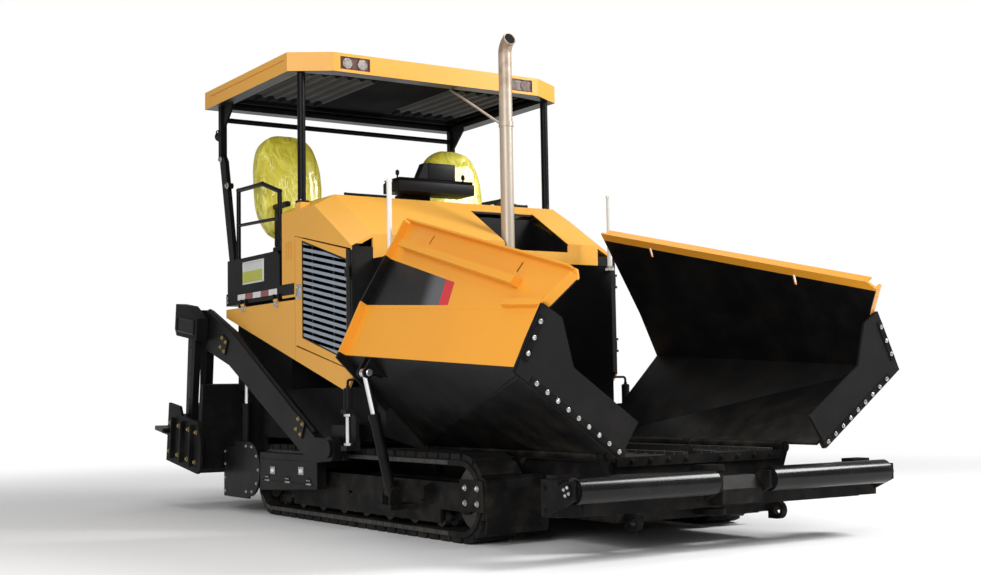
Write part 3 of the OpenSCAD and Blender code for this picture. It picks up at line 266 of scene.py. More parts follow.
# Node trees: short names for the nodes that the finishes are made of
class NodeBench:
    def __init__(self, tree):
        self.tree = tree

    def feed(self, socket, value):
        if isinstance(value, bpy.types.NodeSocket):
            self.tree.links.new(value, socket)
        elif socket.type == "RGBA":
            socket.default_value = (*value, 1)
        else:
            socket.default_value = value

    def add(self, kind, values=None, **settings):
        node = self.tree.nodes.new("ShaderNode" + kind)
        for key, value in settings.items():
            setattr(node, key, value)
        for key, value in (values or {}).items():
            self.feed(node.inputs[key], value)
        return node.outputs

    def math(self, operation, *values, clamp=False):
        return self.add("Math", dict(enumerate(values)), operation=operation, use_clamp=clamp)[0]

    plus = functools.partialmethod(math, "ADD")
    less = functools.partialmethod(math, "SUBTRACT")
    over = functools.partialmethod(math, "GREATER_THAN")
    under = functools.partialmethod(math, "LESS_THAN")

    def times(self, *values):
        return functools.reduce(functools.partial(self.math, "MULTIPLY"), values)

    def most(self, *values):
        return functools.reduce(functools.partial(self.math, "MAXIMUM"), values)

    def within(self, value, low, high):
        return self.times(self.over(value, low), self.under(value, high))

    def vector(self, operation, *values):
        return self.add("VectorMath", dict(enumerate(values)), operation=operation)

    def distance(self, spot, at, normal):
        return self.vector("DOT_PRODUCT", self.vector("SUBTRACT", spot, at)[0], normal)["Value"]

    def mix(self, share, first, second):
        return self.add("Mix", {0: share, 6: first, 7: second}, data_type="RGBA")[2]

    def ramp(self, value, low, high, toLow=0.0, toHigh=1.0):
        limits = {"Value": value, "From Min": low, "From Max": high, "To Min": toLow, "To Max": toHigh}
        return self.add("MapRange", limits, interpolation_type="SMOOTHSTEP")[0]

    def noise(self, vector, scale, detail=3.0, rough=0.5, bend=0.0):
        values = {"Vector": vector, "Scale": scale, "Detail": detail, "Roughness": rough, "Distortion": bend}
        return self.add("TexNoise", values)[0]

    def bump(self, height, strength, distance):
        return self.add("Bump", {"Strength": strength, "Distance": distance, "Height": height})[0]

    def spot(self):
        return self.add("TexCoord")["Object"]

    def axes(self, vector=None):
        return self.add("SeparateXYZ", {0: self.spot() if vector is None else vector})

    def across(self, axes):
        return self.math("ABSOLUTE", axes["X"])


def newGroup(name, takes, gives):
    tree = bpy.data.node_groups.new(name, "ShaderNodeTree")
    for way, sockets in (("INPUT", takes), ("OUTPUT", gives)):
        for label, kind in sockets.items():
            tree.interface.new_socket(name=label, in_out=way, socket_type="NodeSocket" + kind)
    return NodeBench(tree), tree.nodes.new("NodeGroupInput").outputs, tree.nodes.new("NodeGroupOutput").inputs


# Fine road dust that lies on low surfaces, in patches
f = dustForm = Form(
    reach=1.1, above=0.12, patchScale=5.0, patches=(0.38, 0.72), grainScale=140.0, grain=(0.3, 0.7),
    grainLeast=0.6, tone=(0.33, 0.27, 0.20), rough=0.85,
)
net, takes, gives = newGroup("roadDust", dict(Amount="Float"), dict(Mask="Float"))
spot = net.spot()
low = net.ramp(net.axes(spot)["Z"], 0.0, f.reach, 1.0, f.above)
patches = net.ramp(net.noise(spot, f.patchScale, 6.0, 0.65), *f.patches)
grain = net.ramp(net.noise(spot, f.grainScale, 2.0), *f.grain, f.grainLeast, 1.0)
net.feed(gives["Mask"], net.math("MULTIPLY", net.times(low, patches, grain), takes["Amount"], clamp=True))
roadDust = net.tree

# Slow change of tone over a surface, with a fine fleck
f = driftForm = Form(
    slowScale=1.3, slowShare=0.75, fineScale=60.0, fineShare=0.25, roughRange=(0.3, 0.7), roughSpan=0.15,
)
net, takes, gives = newGroup("toneDrift", dict(Color="Color", Strength="Float"),
                             dict(Color="Color", Value="Float"))
spot = net.spot()
slow = net.noise(spot, f.slowScale, 4.0, 0.6)
fine = net.noise(spot, f.fineScale, 2.0)
both = net.plus(net.times(slow, f.slowShare), net.times(fine, f.fineShare))
share = net.times(net.less(both, 0.5), takes["Strength"])
bright = net.add("HueSaturation", {"Color": takes["Color"], "Value": net.plus(share, 1.0)})
net.feed(gives["Color"], bright[0])
net.feed(gives["Value"], both)
toneDrift = net.tree

# The slight waviness of sprayed paint
f = skinForm = Form(fineScale=420.0, fineShare=0.35, slowScale=2.2, deep=0.004)
net, takes, gives = newGroup("sprayedSkin", dict(Strength="Float"), dict(Normal="Vector"))
spot = net.spot()
fine = net.times(net.noise(spot, f.fineScale, 2.0), f.fineShare)
height = net.plus(fine, net.noise(spot, f.slowScale, 2.0))
net.feed(gives["Normal"], net.bump(height, takes["Strength"], f.deep))
sprayedSkin = net.tree


# A material whose shader gets its colour with drift and dust over it
class Finish(NodeBench):
    def __init__(self, name):
        self.material = bpy.data.materials.new(name)
        self.material.use_nodes = True
        super().__init__(self.material.node_tree)
        self.shader = self.tree.nodes["Principled BSDF"]

    def setShader(self, values):
        for key, value in values.items():
            self.feed(self.shader.inputs[key], value)
        return self.material

    def dressed(self, colour, drift=0.25, dust=0.5, rough=0.4, bump=0.1, shine=0.5, metallic=0.0, coat=0.0,
                coatRough=0.2, normal=None):
        d = driftForm
        toned = self.add("Group", {"Color": colour, "Strength": drift}, node_tree=toneDrift)
        mask = self.add("Group", {"Amount": dust}, node_tree=roadDust)["Mask"]
        even = self.ramp(toned["Value"], *d.roughRange, rough * (1 - d.roughSpan), rough * (1 + d.roughSpan))
        dusty = self.times(mask, dustForm.rough - rough)
        if normal is None:
            normal = self.add("Group", {"Strength": bump}, node_tree=sprayedSkin)["Normal"]
        return self.setShader({
            "Base Color": self.mix(mask, toned["Color"], dustForm.tone), "Normal": normal,
            "Roughness": self.math("ADD", even, dusty, clamp=True), "Specular IOR Level": shine,
            "Metallic": metallic, "Coat Weight": coat, "Coat Roughness": coatRough,
        })


def plainFinish(name, colour, **wear):
    return Finish(name).dressed(colour, **wear)


tones = Form(
    amber=(0.85, 0.36, 0.033), gold=(0.80, 0.395, 0.062), black=(0.005, 0.005, 0.0055),
    rubber=(0.008, 0.008, 0.0085), steel=(0.10, 0.098, 0.095), chrome=(0.78, 0.79, 0.80),
    grille=(0.27, 0.31, 0.37), cream=(0.53, 0.45, 0.36), white=(0.80, 0.80, 0.77), bolt=(0.55, 0.55, 0.54),
    zinc=(0.42, 0.33, 0.12), ceiling=(0.085, 0.085, 0.085), lamp=(0.085, 0.024, 0.014),
    screen=(0.01, 0.012, 0.016), red=(0.62, 0.035, 0.045), grey=(0.11, 0.115, 0.125),
)
goldWear = dict(drift=0.12, dust=0.2, rough=0.40, bump=0.06)
amberPaint = plainFinish("amberPaint", tones.gold, coat=0.15, shine=0.25, **goldWear)
blackPaint = plainFinish("blackPaint", tones.black, coat=0.02, drift=0.5, dust=0.05, rough=0.42, bump=0.12,
                         shine=0.12)
blackTough = plainFinish("blackTough", tones.black, drift=0.8, dust=0.09, rough=0.55, bump=0.3, shine=0.10)
blackGloss = plainFinish("blackGloss", tones.black, drift=0.5, dust=0.04, rough=0.2, bump=0.03, shine=0.22)
rubberSkin = plainFinish("rubberSkin", tones.rubber, drift=0.9, dust=0.10, rough=0.66, bump=0.5, shine=0.14)
castSteel = plainFinish("castSteel", tones.steel, metallic=0.85, drift=0.7, dust=0.2, rough=0.5, bump=0.5)
boltSteel = plainFinish("boltSteel", tones.bolt, metallic=0.9, drift=0.3, dust=0.1, rough=0.3, bump=0.15)
zincBolt = plainFinish("zincBolt", tones.zinc, metallic=0.9, drift=0.3, dust=0.1, rough=0.35, bump=0.15)
rodChrome = plainFinish("rodChrome", tones.chrome, metallic=1.0, drift=0.15, dust=0.15, rough=0.12, bump=0.03)
whitePaint = plainFinish("whitePaint", tones.white, coat=0.4, drift=0.1, dust=0.1, rough=0.35, bump=0.05)
hoseSkin = plainFinish("hoseSkin", tones.rubber, drift=0.6, dust=0.08, rough=0.5, bump=0.2, shine=0.35)
lampHousing = plainFinish("lampHousing", tones.lamp, coat=0.3, drift=0.3, dust=0.0, rough=0.35, bump=0.05)
screenGlass = plainFinish("screenGlass", tones.screen, coat=1.0, drift=0.2, dust=0.0, rough=0.15, bump=0.02)

# The wing: amber outside, black inside, with a striped band at the rear of the upper plate
wingForm = Form(
    front=-3.20, rear=-0.76, pivot=(0.77, 0.606), corner=(1.55, 1.15), fold=(1.375, 1.505), rearLift=0.15,
    outerUp=0.355, leanDeg=31, upperFront=0.29, upperRear=0.76, flange=0.075, coat=0.22, blackCoat=0.01,
)
bandForm = Form(
    frontEnd=1.21, redWide=0.13, greyFrom=0.23, greyTo=0.43, slant=0.42, below=0.343, foot=0.012,
    border=0.065,
)


def makeWingPaint(name, sign):
    net = Finish(name)
    w, b = wingForm, bandForm
    spot = net.spot()
    lift = w.rearLift / w.outerUp
    shift = tuple((f - c) * lift for f, c in zip(w.fold, w.corner))

    def at(point, y, shift=(0, 0)):
        return Vector((sign * (point[0] + shift[0]), y, point[1] + shift[1]))

    pivotFront, pivotRear = at(w.pivot, w.front), at(w.pivot, w.rear)
    cornerFront, cornerRear = at(w.corner, w.front), at(w.corner, w.rear, shift)
    foldFront, foldRear = at(w.fold, w.front), at(w.fold, w.rear, shift)
    along = (foldRear - foldFront).normalized()
    lean = math.radians(w.leanDeg)
    up = Vector((-sign * math.sin(lean), 0, math.cos(lean)))
    up = (up - along * along.dot(up)).normalized()
    inside = Vector((-sign, 0, 0.4))
    faces = []
    for a, b0, c in ((pivotFront, pivotRear, cornerFront), (pivotRear, cornerRear, cornerFront),
                     (cornerFront, cornerRear, foldRear), (foldFront, foldRear, foldFront + up)):
        normal = (b0 - a).cross(c - a).normalized()
        faces.append((a, normal if normal.dot(inside) > 0 else -normal))
    depths = [net.distance(spot, a, normal) for a, normal in faces]
    least = functools.reduce(functools.partial(net.math, "MINIMUM"), depths)
    rise = faces[2][1].cross((cornerRear - cornerFront).normalized())
    rise = rise if rise.z > 0 else -rise
    overCorner = net.distance(spot, cornerFront, rise)
    lengthways = net.distance(spot, foldFront, along)
    upwards = net.distance(spot, foldFront, up)
    # All below the outer plate is black too, and the front flange up to the fold
    flange = net.times(net.under(lengthways, 0.004), net.under(upwards, 0.0))
    underMask = net.most(net.ramp(overCorner, -0.006, -0.003, 1.0, 0.0), flange)
    # An amber border stays inside along the top edge
    topEdge = net.times(lengthways, (w.upperRear - w.upperFront) / (w.rear - w.front))
    inBorder = net.under(upwards, net.plus(topEdge, w.upperFront - b.border))
    blackMask = net.most(net.times(net.ramp(least, -0.012, -0.008), inBorder), underMask)
    underTop = net.under(upwards, net.plus(topEdge, w.upperFront - b.below))
    past = net.less(net.less(lengthways, net.times(upwards, b.slant)), b.frontEnd)
    inBand = net.times(underTop, net.over(upwards, b.foot), net.over(past, 0.0))
    striped = net.mix(net.over(past, b.redWide), tones.red, tones.grey)
    striped = net.mix(net.ramp(past, b.greyFrom, b.greyTo), striped, tones.black)
    colour = net.mix(blackMask, net.mix(inBand, tones.amber, striped), tones.black)
    coat = net.less(w.coat, net.times(blackMask, w.coat - w.blackCoat))
    return net.dressed(colour, drift=0.12, dust=0.2, rough=0.36, bump=0.06, shine=0.15, coat=coat)


wingPaints = {side: makeWingPaint("wingPaint" + side.capitalize(), sign) for side, sign in sides}

# Golden panels with some faces in black, given by boxes (mirrored or not, low, high),
# on the hood only below a slope, and on the roof as painted shade under it
partedForm = Form(
    hoodPaint=((False, (0.124, -0.468, 2.10), (0.786, 0.064, 2.70)),
               (True, (-1, -0.455, 1.0), (1.08, 0.79, 2.622))),
    sidePaint=((True, (1.0, -0.5, 1.0), (1.2735, -0.4688, 2.17)),
               (True, (1.0, -0.5, 1.0), (1.2545, 0.9, 2.12)),
               (True, (1.0, -0.5, 1.25), (1.32, -0.431, 2.12))),
    doorPaint=((True, (1.2, -0.5, 1.0), (1.32, -0.371, 2.3)), (True, (1.2, -0.5, 1.0), (1.2545, 0.6, 2.4))),
    # On the roof the black underside and inside walls are painted shade under the roof
    roofPaint=((True, (-1, 0, 3.6), (1.3605, 2.4, 3.6915)), (True, (-1, 0.50, 3.6), (1.345, 2.285, 3.832)),
               (True, (-1, 0.30, 3.6), (1.0, 0.52, 3.832))),
)
slopeForm = Form(y=-0.47, z=2.242, rise=0.6037, coat=0.18, blackCoat=0.01)


def makePartedPaint(name, boxes):
    net = Finish(name)
    f = slopeForm
    axes = net.axes()
    across = net.across(axes)
    masks = []
    for mirrored, low, high in boxes:
        values = (across if mirrored else axes["X"], axes["Y"], axes["Z"])
        masks.append(net.times(*(net.within(*limits) for limits in zip(values, low, high))))
    mask = net.most(*masks)
    if name == "hoodPaint":
        limit = net.plus(net.times(net.less(axes["Y"], f.y), f.rise), f.z)
        mask = net.times(mask, net.under(axes["Z"], limit))
    coat = net.less(f.coat, net.times(mask, f.coat - f.blackCoat))
    return net.dressed(net.mix(mask, tones.gold, tones.black), shine=0.2, coat=coat, **goldWear)


partedPaints = Form((name, makePartedPaint(name, boxes)) for name, boxes in partedForm.items())

# Louvres: grey slats, with the frame round them and the bars behind them in black
f = louvreForm = Form(face=1.263, corners=((-0.37, 1.2735), (0.42, 1.4787), (0.42, 2.28), (-0.37, 2.06)),
                      frames=(0.012, 0.022, 0.018, 0.004))
net = Finish("louvrePaint")
spot = net.spot()
masks = [net.over(net.across(net.axes(spot)), f.face)]
for corner, after, wide in zip(f.corners, f.corners[1:] + f.corners[:1], f.frames):
    edge = Vector((0, after[0] - corner[0], after[1] - corner[1])).normalized()
    masks.append(net.over(net.distance(spot, (0, *corner), (0, -edge.z, edge.y)), wide))
colour = net.mix(net.times(*masks), tones.black, tones.grille)
louvrePaint = net.dressed(colour, dust=0.1, rough=0.42, bump=0.08, shine=0.3)

# Exhaust coating, browned by heat towards its mouth
f = heatForm = Form(heights=(3.1, 3.95), scale=9.0, patches=(0.3, 0.65), brown=(0.30, 0.20, 0.13))
net = Finish("exhaustCoat")
spot = net.spot()
patches = net.ramp(net.noise(spot, f.scale, 4.0), *f.patches)
heat = net.times(net.ramp(net.axes(spot)["Z"], *f.heights), patches)
exhaustCoat = net.dressed(net.mix(heat, tones.cream, f.brown), metallic=0.35, dust=0.1, rough=0.42)

# Ribbed ceiling: two lighter bays of bare sheet, the rest black; the bays are full only over a lit span along
# Y and faint outside it, painted light where light falls
f = ceilingForm = Form(inner=0.36, outer=1.10, front=0.72, rear=1.72, edge=0.01, metal=0.6, bare=0.1)
net = Finish("ceilingSheet")
axes = net.axes()
across = net.across(axes)
side = net.times(net.ramp(across, f.inner, f.inner + f.edge),
                 net.ramp(across, f.outer, f.outer + f.edge, 1.0, 0.0))
# Painted light: the bays show in full only over the span along Y where light falls, and faint outside it
lit = net.times(net.ramp(axes["Y"], f.front, f.front + 2 * f.edge),
                net.ramp(axes["Y"], f.rear, f.rear + 2 * f.edge, 1.0, 0.0))
side = net.times(side, net.plus(net.times(lit, 1 - f.bare), f.bare))
colour, metal = net.mix(side, tones.black, tones.ceiling), net.times(side, f.metal)
ceilingSheet = net.dressed(colour, metallic=metal, drift=0.4, dust=0.0, rough=0.62, bump=0.15, shine=0.01)

# Tread plate: small raised bars in two directions
f = treadPlateForm = Form(
    turns=((0.785, 0.0), (-0.785, 0.5)), cells=(22, 52, 1), shares=(1.2, 2.2), edge=(0.32, 0.45),
    tone=(0.02, 0.02, 0.021), worn=(0.09, 0.09, 0.09), deep=0.003,
)
net = Finish("treadPlate")
spot = net.spot()
heights = []
for angle, shift in f.turns:
    place = {"Vector": spot, "Rotation": (0, 0, angle), "Location": (shift, shift, 0), "Scale": f.cells}
    cell = net.vector("FRACTION", net.add("Mapping", place)[0])[0]
    parts = net.axes(net.vector("SUBTRACT", cell, (0.5, 0.5, 0.5))[0])
    far = [net.times(net.math("ABSOLUTE", parts[axis]), share) for axis, share in zip("XY", f.shares)]
    heights.append(net.ramp(net.most(*far), *f.edge, 1.0, 0.0))
height = net.most(*heights)
treadPlate = net.dressed(net.mix(net.times(height, 0.5), f.tone, f.worn), drift=0.5, rough=0.5,
                         normal=net.bump(height, 0.5, f.deep))

# Retroreflective tape: red and white lengths with a honeycomb of cells
f = stripForm = Form(
    front=0.90, rear=1.74, low=1.868, high=1.918, lengths=5, bandFront=0.562, bandRear=1.86, margin=0.022,
    bandThick=0.002, tapeThick=0.0035, bevel=0.0006, cellScale=160.0, cellEdge=0.08,
    white=(0.78, 0.78, 0.76), red=(0.27, 0.012, 0.015), grey=(0.3, 0.3, 0.3),
)
net = Finish("reflectiveTape")
spot = net.spot()
step = (f.rear - f.front) / f.lengths
count = net.math("FLOOR", net.math("DIVIDE", net.less(net.axes(spot)["Y"], f.front), step))
odd = net.over(net.math("MODULO", count, 2.0), 0.5)
cells = net.add("TexVoronoi", {"Vector": spot, "Scale": f.cellScale}, feature="DISTANCE_TO_EDGE")[0]
colour = net.mix(net.ramp(cells, 0.0, f.cellEdge, 0.35, 0.0), net.mix(odd, f.white, f.red), f.grey)
reflectiveTape = net.dressed(colour, drift=0.1, dust=0.1, rough=0.25, bump=0.03, coat=0.8, coatRough=0.03)

# Thin yellow film over the seats, wrinkled, and painted darker in the wrinkles' hollows as painted shade
f = filmForm = Form(
    stretch=(1, 1, 0.6), scale=7.0, bend=2.2, foldScale=11.0, foldShare=0.6, deep=0.035, strength=0.75,
    tones=((0.66, 0.57, 0.04), (0.86, 0.79, 0.12)),
)
net = Finish("seatFilm")
bent = net.vector("MULTIPLY", net.spot(), f.stretch)[0]
crumple = net.noise(bent, f.scale, bend=f.bend)
folds = net.add("TexVoronoi", {"Vector": bent, "Scale": f.foldScale}, feature="SMOOTH_F1")["Distance"]
relief = net.bump(net.plus(net.times(folds, f.foldShare), crumple), f.strength, f.deep)
# Painted shade: darker where the crumple relief is low, lighter where it is high
colour = net.mix(net.ramp(crumple, 0.35, 0.7), *f.tones)
seatFilm = net.dressed(colour, drift=0.2, dust=0.0, rough=0.28, coat=0.5, coatRough=0.03, normal=relief)

f = glassForm = Form(waves=60.0, deep=0.002, scale=30.0, tones=((0.16, 0.115, 0.095), (0.30, 0.25, 0.22)))
net = Finish("lampGlass")
spot = net.spot()
wave = net.add("TexWave", {"Vector": spot, "Scale": f.waves}, bands_direction="X")[1]
lampGlass = net.setShader({
    "Base Color": net.mix(net.noise(spot, f.scale), *f.tones), "Normal": net.bump(wave, 0.25, f.deep),
    "Roughness": 0.12, "Specular IOR Level": 0.3, "Transmission Weight": 0.2,
})

# A blank sign: white over yellow, with a white border
f = plateForm = Form(
    front=1.17, rear=1.63, low=2.0, high=2.2, thick=0.003, parting=2.112, border=0.014, screwIn=0.008,
    screwSize=0.35, white=(0.62, 0.64, 0.60), yellow=(0.46, 0.47, 0.07),
)
net = Finish("blankPlate")
axes = net.axes()
lengthways = net.within(axes["Y"], f.front + f.border, f.rear - f.border)
field = net.times(lengthways, net.within(axes["Z"], f.low + f.border, f.parting))
blankPlate = net.dressed(net.mix(field, f.white, f.yellow), drift=0.2, dust=0.0, bump=0.05)
print("stage: finishes made")

# Every CAD node gets its finish
nodeFinishes = {
    amberPaint: "flap_right flap_left", partedPaints.doorPaint: "grille_door_right grille_door_left",
    partedPaints.hoodPaint: "hood", partedPaints.sidePaint: "side_panels", partedPaints.roofPaint: "roof",
    blackPaint: "hopper_wall roof_posts console handrails wing_barrel_right wing_barrel_left "
                "lift_barrel_right lift_barrel_left tow_points side_boxes platform tow_arms",
    blackTough: "chassis track_frames track_guards hopper_floor screed auger_gearbox push_beam",
    blackGloss: "push_roller_right push_roller_left",
    rubberSkin: "track_right track_left wing_apron_right wing_apron_left",
    castSteel: "track_wheels conveyors engine auger_right auger_left",
    rodChrome: "wing_rod_right wing_rod_left lift_rod_right lift_rod_left levelling_rods",
    louvrePaint: "grille_right grille_left",
    exhaustCoat: "exhaust", whitePaint: "marker_rods", lampGlass: "roof_lamps", seatFilm: "seats",
    ceilingSheet: "roof_lining", treadPlate: "footboard",
    wingPaints["right"]: "wing_right", wingPaints["left"]: "wing_left",
}
for material, names in nodeFinishes.items():
    for name in names.split():
        paint(nodes[name], material)

# A hexagon bolt on a washer, modelled once along Z
boltForm = Form(headR=0.013, washerR=0.019, washer=((1, 0), (1, 0.0021), (0.93, 0.003)),
                head=((1, 0.003), (1, 0.0118), (0.8, 0.014)))


def makeBolt(material):
    f = boltForm
    washer = smoothed(turned(f.washer, 20, f.washerR))
    return paint(joined([turned(f.head, 6, f.headR), washer]), material)


brightBolt = makeBolt(boltSteel)
darkBolt = makeBolt(blackTough)
yellowBolt = makeBolt(zincBolt)


# Bolt heads with the same outward way, each turned a little further than the last
def boltsOn(master, spots, outward, size=1.0, first=0, step=23, lift=Matrix()):
    places = [facing(spot, outward, first + step * i, size) for i, spot in enumerate(spots)]
    return [copyAt(master, lift @ place) for place in places]


# Apron: clamp bars and bolts along the outer edge of the rubber sheet
apronForm = Form(
    face=-3.224, inset=0.030, barWide=0.044, barThick=0.006, barPast=0.045, low=0.125, lowCount=9,
    highShares=(0.19, 0.45, 0.72), boltSize=0.8, boltTurn=17,
)


def makeApronFittings(side, sign):
    f, w = apronForm, wingForm
    pivot, corner, fold = Vector(w.pivot), Vector(w.corner), Vector(w.fold)
    way, rise = (corner - pivot).normalized(), (fold - corner).normalized()
    edge = w.flange - f.inset
    step = ((corner - pivot).length - f.low) / f.lowCount
    start, lowOut, highOut = pivot + way * f.low, Vector((way.y, -way.x)), Vector((rise.y, -rise.x))
    low = [start + way * step * i + lowOut * edge for i in range(f.lowCount)]
    high = [corner + (fold - corner) * share + highOut * edge for share in f.highShares]

    def spot(p, proud=0.0):
        return Vector((sign * p.x, f.face - proud, p.y))

    parts = []
    for line in (low, high):
        run = line[-1] - line[0]
        reach = run.length / 2 + f.barPast
        bar = block((-reach, -f.barThick, -f.barWide / 2), (reach, 0, f.barWide / 2), 0.002)
        tilt = Matrix.Rotation(-math.atan2(run.y, sign * run.x), 4, "Y")
        bar.data.transform(moveTo(spot((line[0] + line[-1]) / 2)) @ tilt)
        parts.append(paint(bar, blackTough))
    spots = [spot(p, f.barThick) for p in low + high]
    parts += boltsOn(brightBolt, spots, (0, -1, 0), f.boltSize, step=f.boltTurn)
    gather("apronBolts_" + side, parts, "wing_" + side)


for side, sign in sides:
    makeApronFittings(side, sign)
print("stage: aprons done")

# Reflective strip, blank plate, hinge leaves and latches on the machine's sides
flapForm = Form(hinges=(0.90, 1.60), blockX=1.287, low=1.764, high=1.811, leafWide=0.078, leafThick=0.004,
                screwApart=0.026, screwSize=0.6)
paddleForm = Form(plate=(0.006, 0.045, 0.032), rim=(0.007, 0.003, 0.004), leverLow=(0.002, -0.026, -0.018),
                  leverHigh=(0.009, 0.030, 0.016), doorAt=(0.47, 1.86), doorSize=1.35)


def makeSideFittings(side, sign):
    x, out = machine.bodyX * sign, (sign, 0, 0)
    s, p, f = stripForm, plateForm, flapForm
    band = block((x, s.bandFront, s.low - s.margin),
                 (x + sign * s.bandThick, s.bandRear, s.high + s.margin), s.bevel)
    tape = block((x + sign * s.bandThick / 2, s.front, s.low),
                 (x + sign * s.tapeThick, s.rear, s.high), s.bevel)
    gather("reflectiveStrip_" + side, [paint(band, blackPaint), paint(tape, reflectiveTape)], "chassis")
    face = x + sign * p.thick
    sheet = sunk(block((x, p.front, p.low), (face, p.rear, p.high), 0.001), out, 0.016, 0.002, 0.0012)
    screws = [(face, y, z) for y in (p.front + p.screwIn, p.rear - p.screwIn)
              for z in (p.low + p.screwIn, p.high - p.screwIn)]
    parts = [paint(sheet, blankPlate)] + boltsOn(brightBolt, screws, out, p.screwSize, step=0)
    gather("blankPlate_" + side, parts, "chassis")
    inner, outer = sign * (f.blockX - 0.0005), sign * (f.blockX + f.leafThick)
    leaves = []
    for y in f.hinges:
        leaf = block((inner, y - f.leafWide / 2, f.low), (outer, y + f.leafWide / 2, f.high), 0.0015)
        screws = [(outer, y + apart, (f.low + f.high) / 2) for apart in (-f.screwApart, f.screwApart)]
        leaves += [paint(leaf, rodChrome)] + boltsOn(brightBolt, screws, out, f.screwSize, 20, 0)
    gather("flapHinges_" + side, leaves, "flap_" + side)


# A paddle latch: a dished plate with a lever in it, along X
def makeLatch(sign, place):
    f = paddleForm
    thick, wide, high = f.plate
    plate = sunk(block((0, -wide, -high), f.plate, 0.002), (1, 0, 0), *f.rim)
    lever = block(f.leverLow, f.leverHigh, 0.003, 3)
    for part in (plate, lever):
        part.data.transform(place @ turnBy(90 - 90 * sign, "Z"))
    return [paint(plate, boltSteel), paint(lever, rodChrome)]


for side, sign in sides:
    makeSideFittings(side, sign)
    upright = turnBy(90, "X") @ Matrix.Scale(paddleForm.doorSize, 4)
    latch = makeLatch(sign, moveTo((machine.bodyX * sign, *paddleForm.doorAt)) @ upright)
    gather("doorLatch_" + side, latch, "grille_door_" + side)
print("stage: side fittings done")

# Roof lamps: a housing with two bezels in each recess of the fascia
lampForm = Form(centres=(0.76, 0.90), z=3.77, r=0.046, reach=0.07, high=0.108, sunk=(0.008, 0.003, 0.006),
                bezel=((1.16, 0), (1.16, 0.012), (1.08, 0.016), (0.98, 0.016), (0.94, 0.008), (0.5, 0.003)))
f, front, out = lampForm, machine.roofFront, (0, -1, 0)
near, far = f.centres[0] - f.reach, f.centres[1] + f.reach
parts = []
for side, sign in sides:
    low = (sign * near, front + 0.001, f.z - f.high / 2)
    high = (sign * far, front + 0.015, f.z + f.high / 2)
    parts.append(paint(sunk(block(low, high, 0.003), out, *f.sunk), lampHousing))
    places = [facing((sign * x, front + 0.016, f.z), out) for x in f.centres]
    parts += lathe(f.bezel, 32, places, lampHousing, f.r)
gather("lampHousings", parts, "chassis")

# Exhaust mouth: a rolled ring with a dark bore, at the end of the bent tube; the bore is a flat black disc
# across the mouth, painted shade in place of the open pipe
f = exhaustForm = Form(
    x=0.22, y=-0.39, r=0.055, bend=0.12, turnDeg=70, core=((0.87, 0.0002), (0.85, 0.001)),
    ring=((0.98, -0.02), (1.05, -0.016), (1.05, 0), (1, 0.003), (0.9, 0.002), (0.86, -0.001)),
)
turn = math.radians(f.turnDeg)
at = (f.x, f.y - f.bend * (1 - math.cos(turn)), cadHigh.z - f.r * math.sin(turn))
place = [facing(at, (0, -math.sin(turn), math.cos(turn)))]
# A flat black disc closes the mouth as painted shade of the bore
parts = lathe(f.ring, 36, place, exhaustCoat, f.r) + lathe(f.core, 36, place, blackTough, f.r, 1)
gather("exhaustMouth", parts, "chassis")
print("stage: roof and exhaust done")

# Seats: a frame, a base, a cushion and a back in a wrapped bag of film for each
seatForm = Form(
    wide=0.48, out=1.04, front=1.02, rear=1.52, seatLow=2.27, seatHigh=2.50, leanDeg=8, cushionThick=0.20,
    cushionDown=0.08, backAt=0.87, backWide=0.60, backThick=0.25, backLow=2.42, backTop=3.34, backOff=0.04,
    tuck=0.30, crown=0.24, baseHalf=0.17, armOut=0.012, armZ=(2.66, 2.71), stayZ=(2.33, 2.67), fill=0.75,
)
bagForm = Form(segments=88, rings=60, creases=0.016, waves=((1, 9, 4), (0.6, 17, -7)))
clothForm = Form(frames=14, settings=dict(
    quality=6, mass=0.2, tension_stiffness=18, compression_stiffness=18, shear_stiffness=8,
    bending_stiffness=0.02, air_damping=6.0, use_pressure=True, uniform_pressure_force=0.1, shrink_min=-0.04,
))


# A bag: a ball drawn out to a rounded box, gathered in towards its foot and its crown, with creases
def softBag(size, squareness, tuck=0.0, crown=0.0):
    f = bagForm
    clearSelection()
    bpy.ops.mesh.primitive_uv_sphere_add(segments=f.segments, ring_count=f.rings, radius=1)
    piece = settle(bpy.context.object)
    editOn(piece)
    mesh = bmesh.from_edit_mesh(piece.data)
    for vert in mesh.verts:
        x, y, z = (math.copysign(abs(v) ** squareness, v) for v in vert.co)
        pinch = 1 - tuck * max(0.0, -z) ** 2 - crown * max(0.0, z) ** 2
        wave = sum(share * math.sin(count * math.atan2(y, x) + twist * z) for share, count, twist in f.waves)
        pinch *= 1 + f.creases * (0.4 + 0.6 * z * z) * wave
        vert.co = (x * size[0] / 2 * pinch, y * size[1] / 2 * pinch, z * size[2] / 2)
    bmesh.update_edit_mesh(piece.data)
    editOff()
    return piece


# The film is blown up and pulled in by a short cloth run, then kept as a mesh
def blowUp(piece):
    pick(piece)
    cloth = piece.modifiers.new("film", "CLOTH")
    for key, value in clothForm.settings.items():
        setattr(cloth.settings, key, value)
    cloth.settings.effector_weights.gravity = 0.0
    cloth.collision_settings.use_collision = False
    cloth.collision_settings.use_self_collision = False
    for i in range(1, clothForm.frames + 1):
        bpy.context.scene.frame_set(i)
    bpy.ops.object.modifier_apply(modifier="film")
    bpy.context.scene.frame_set(1)


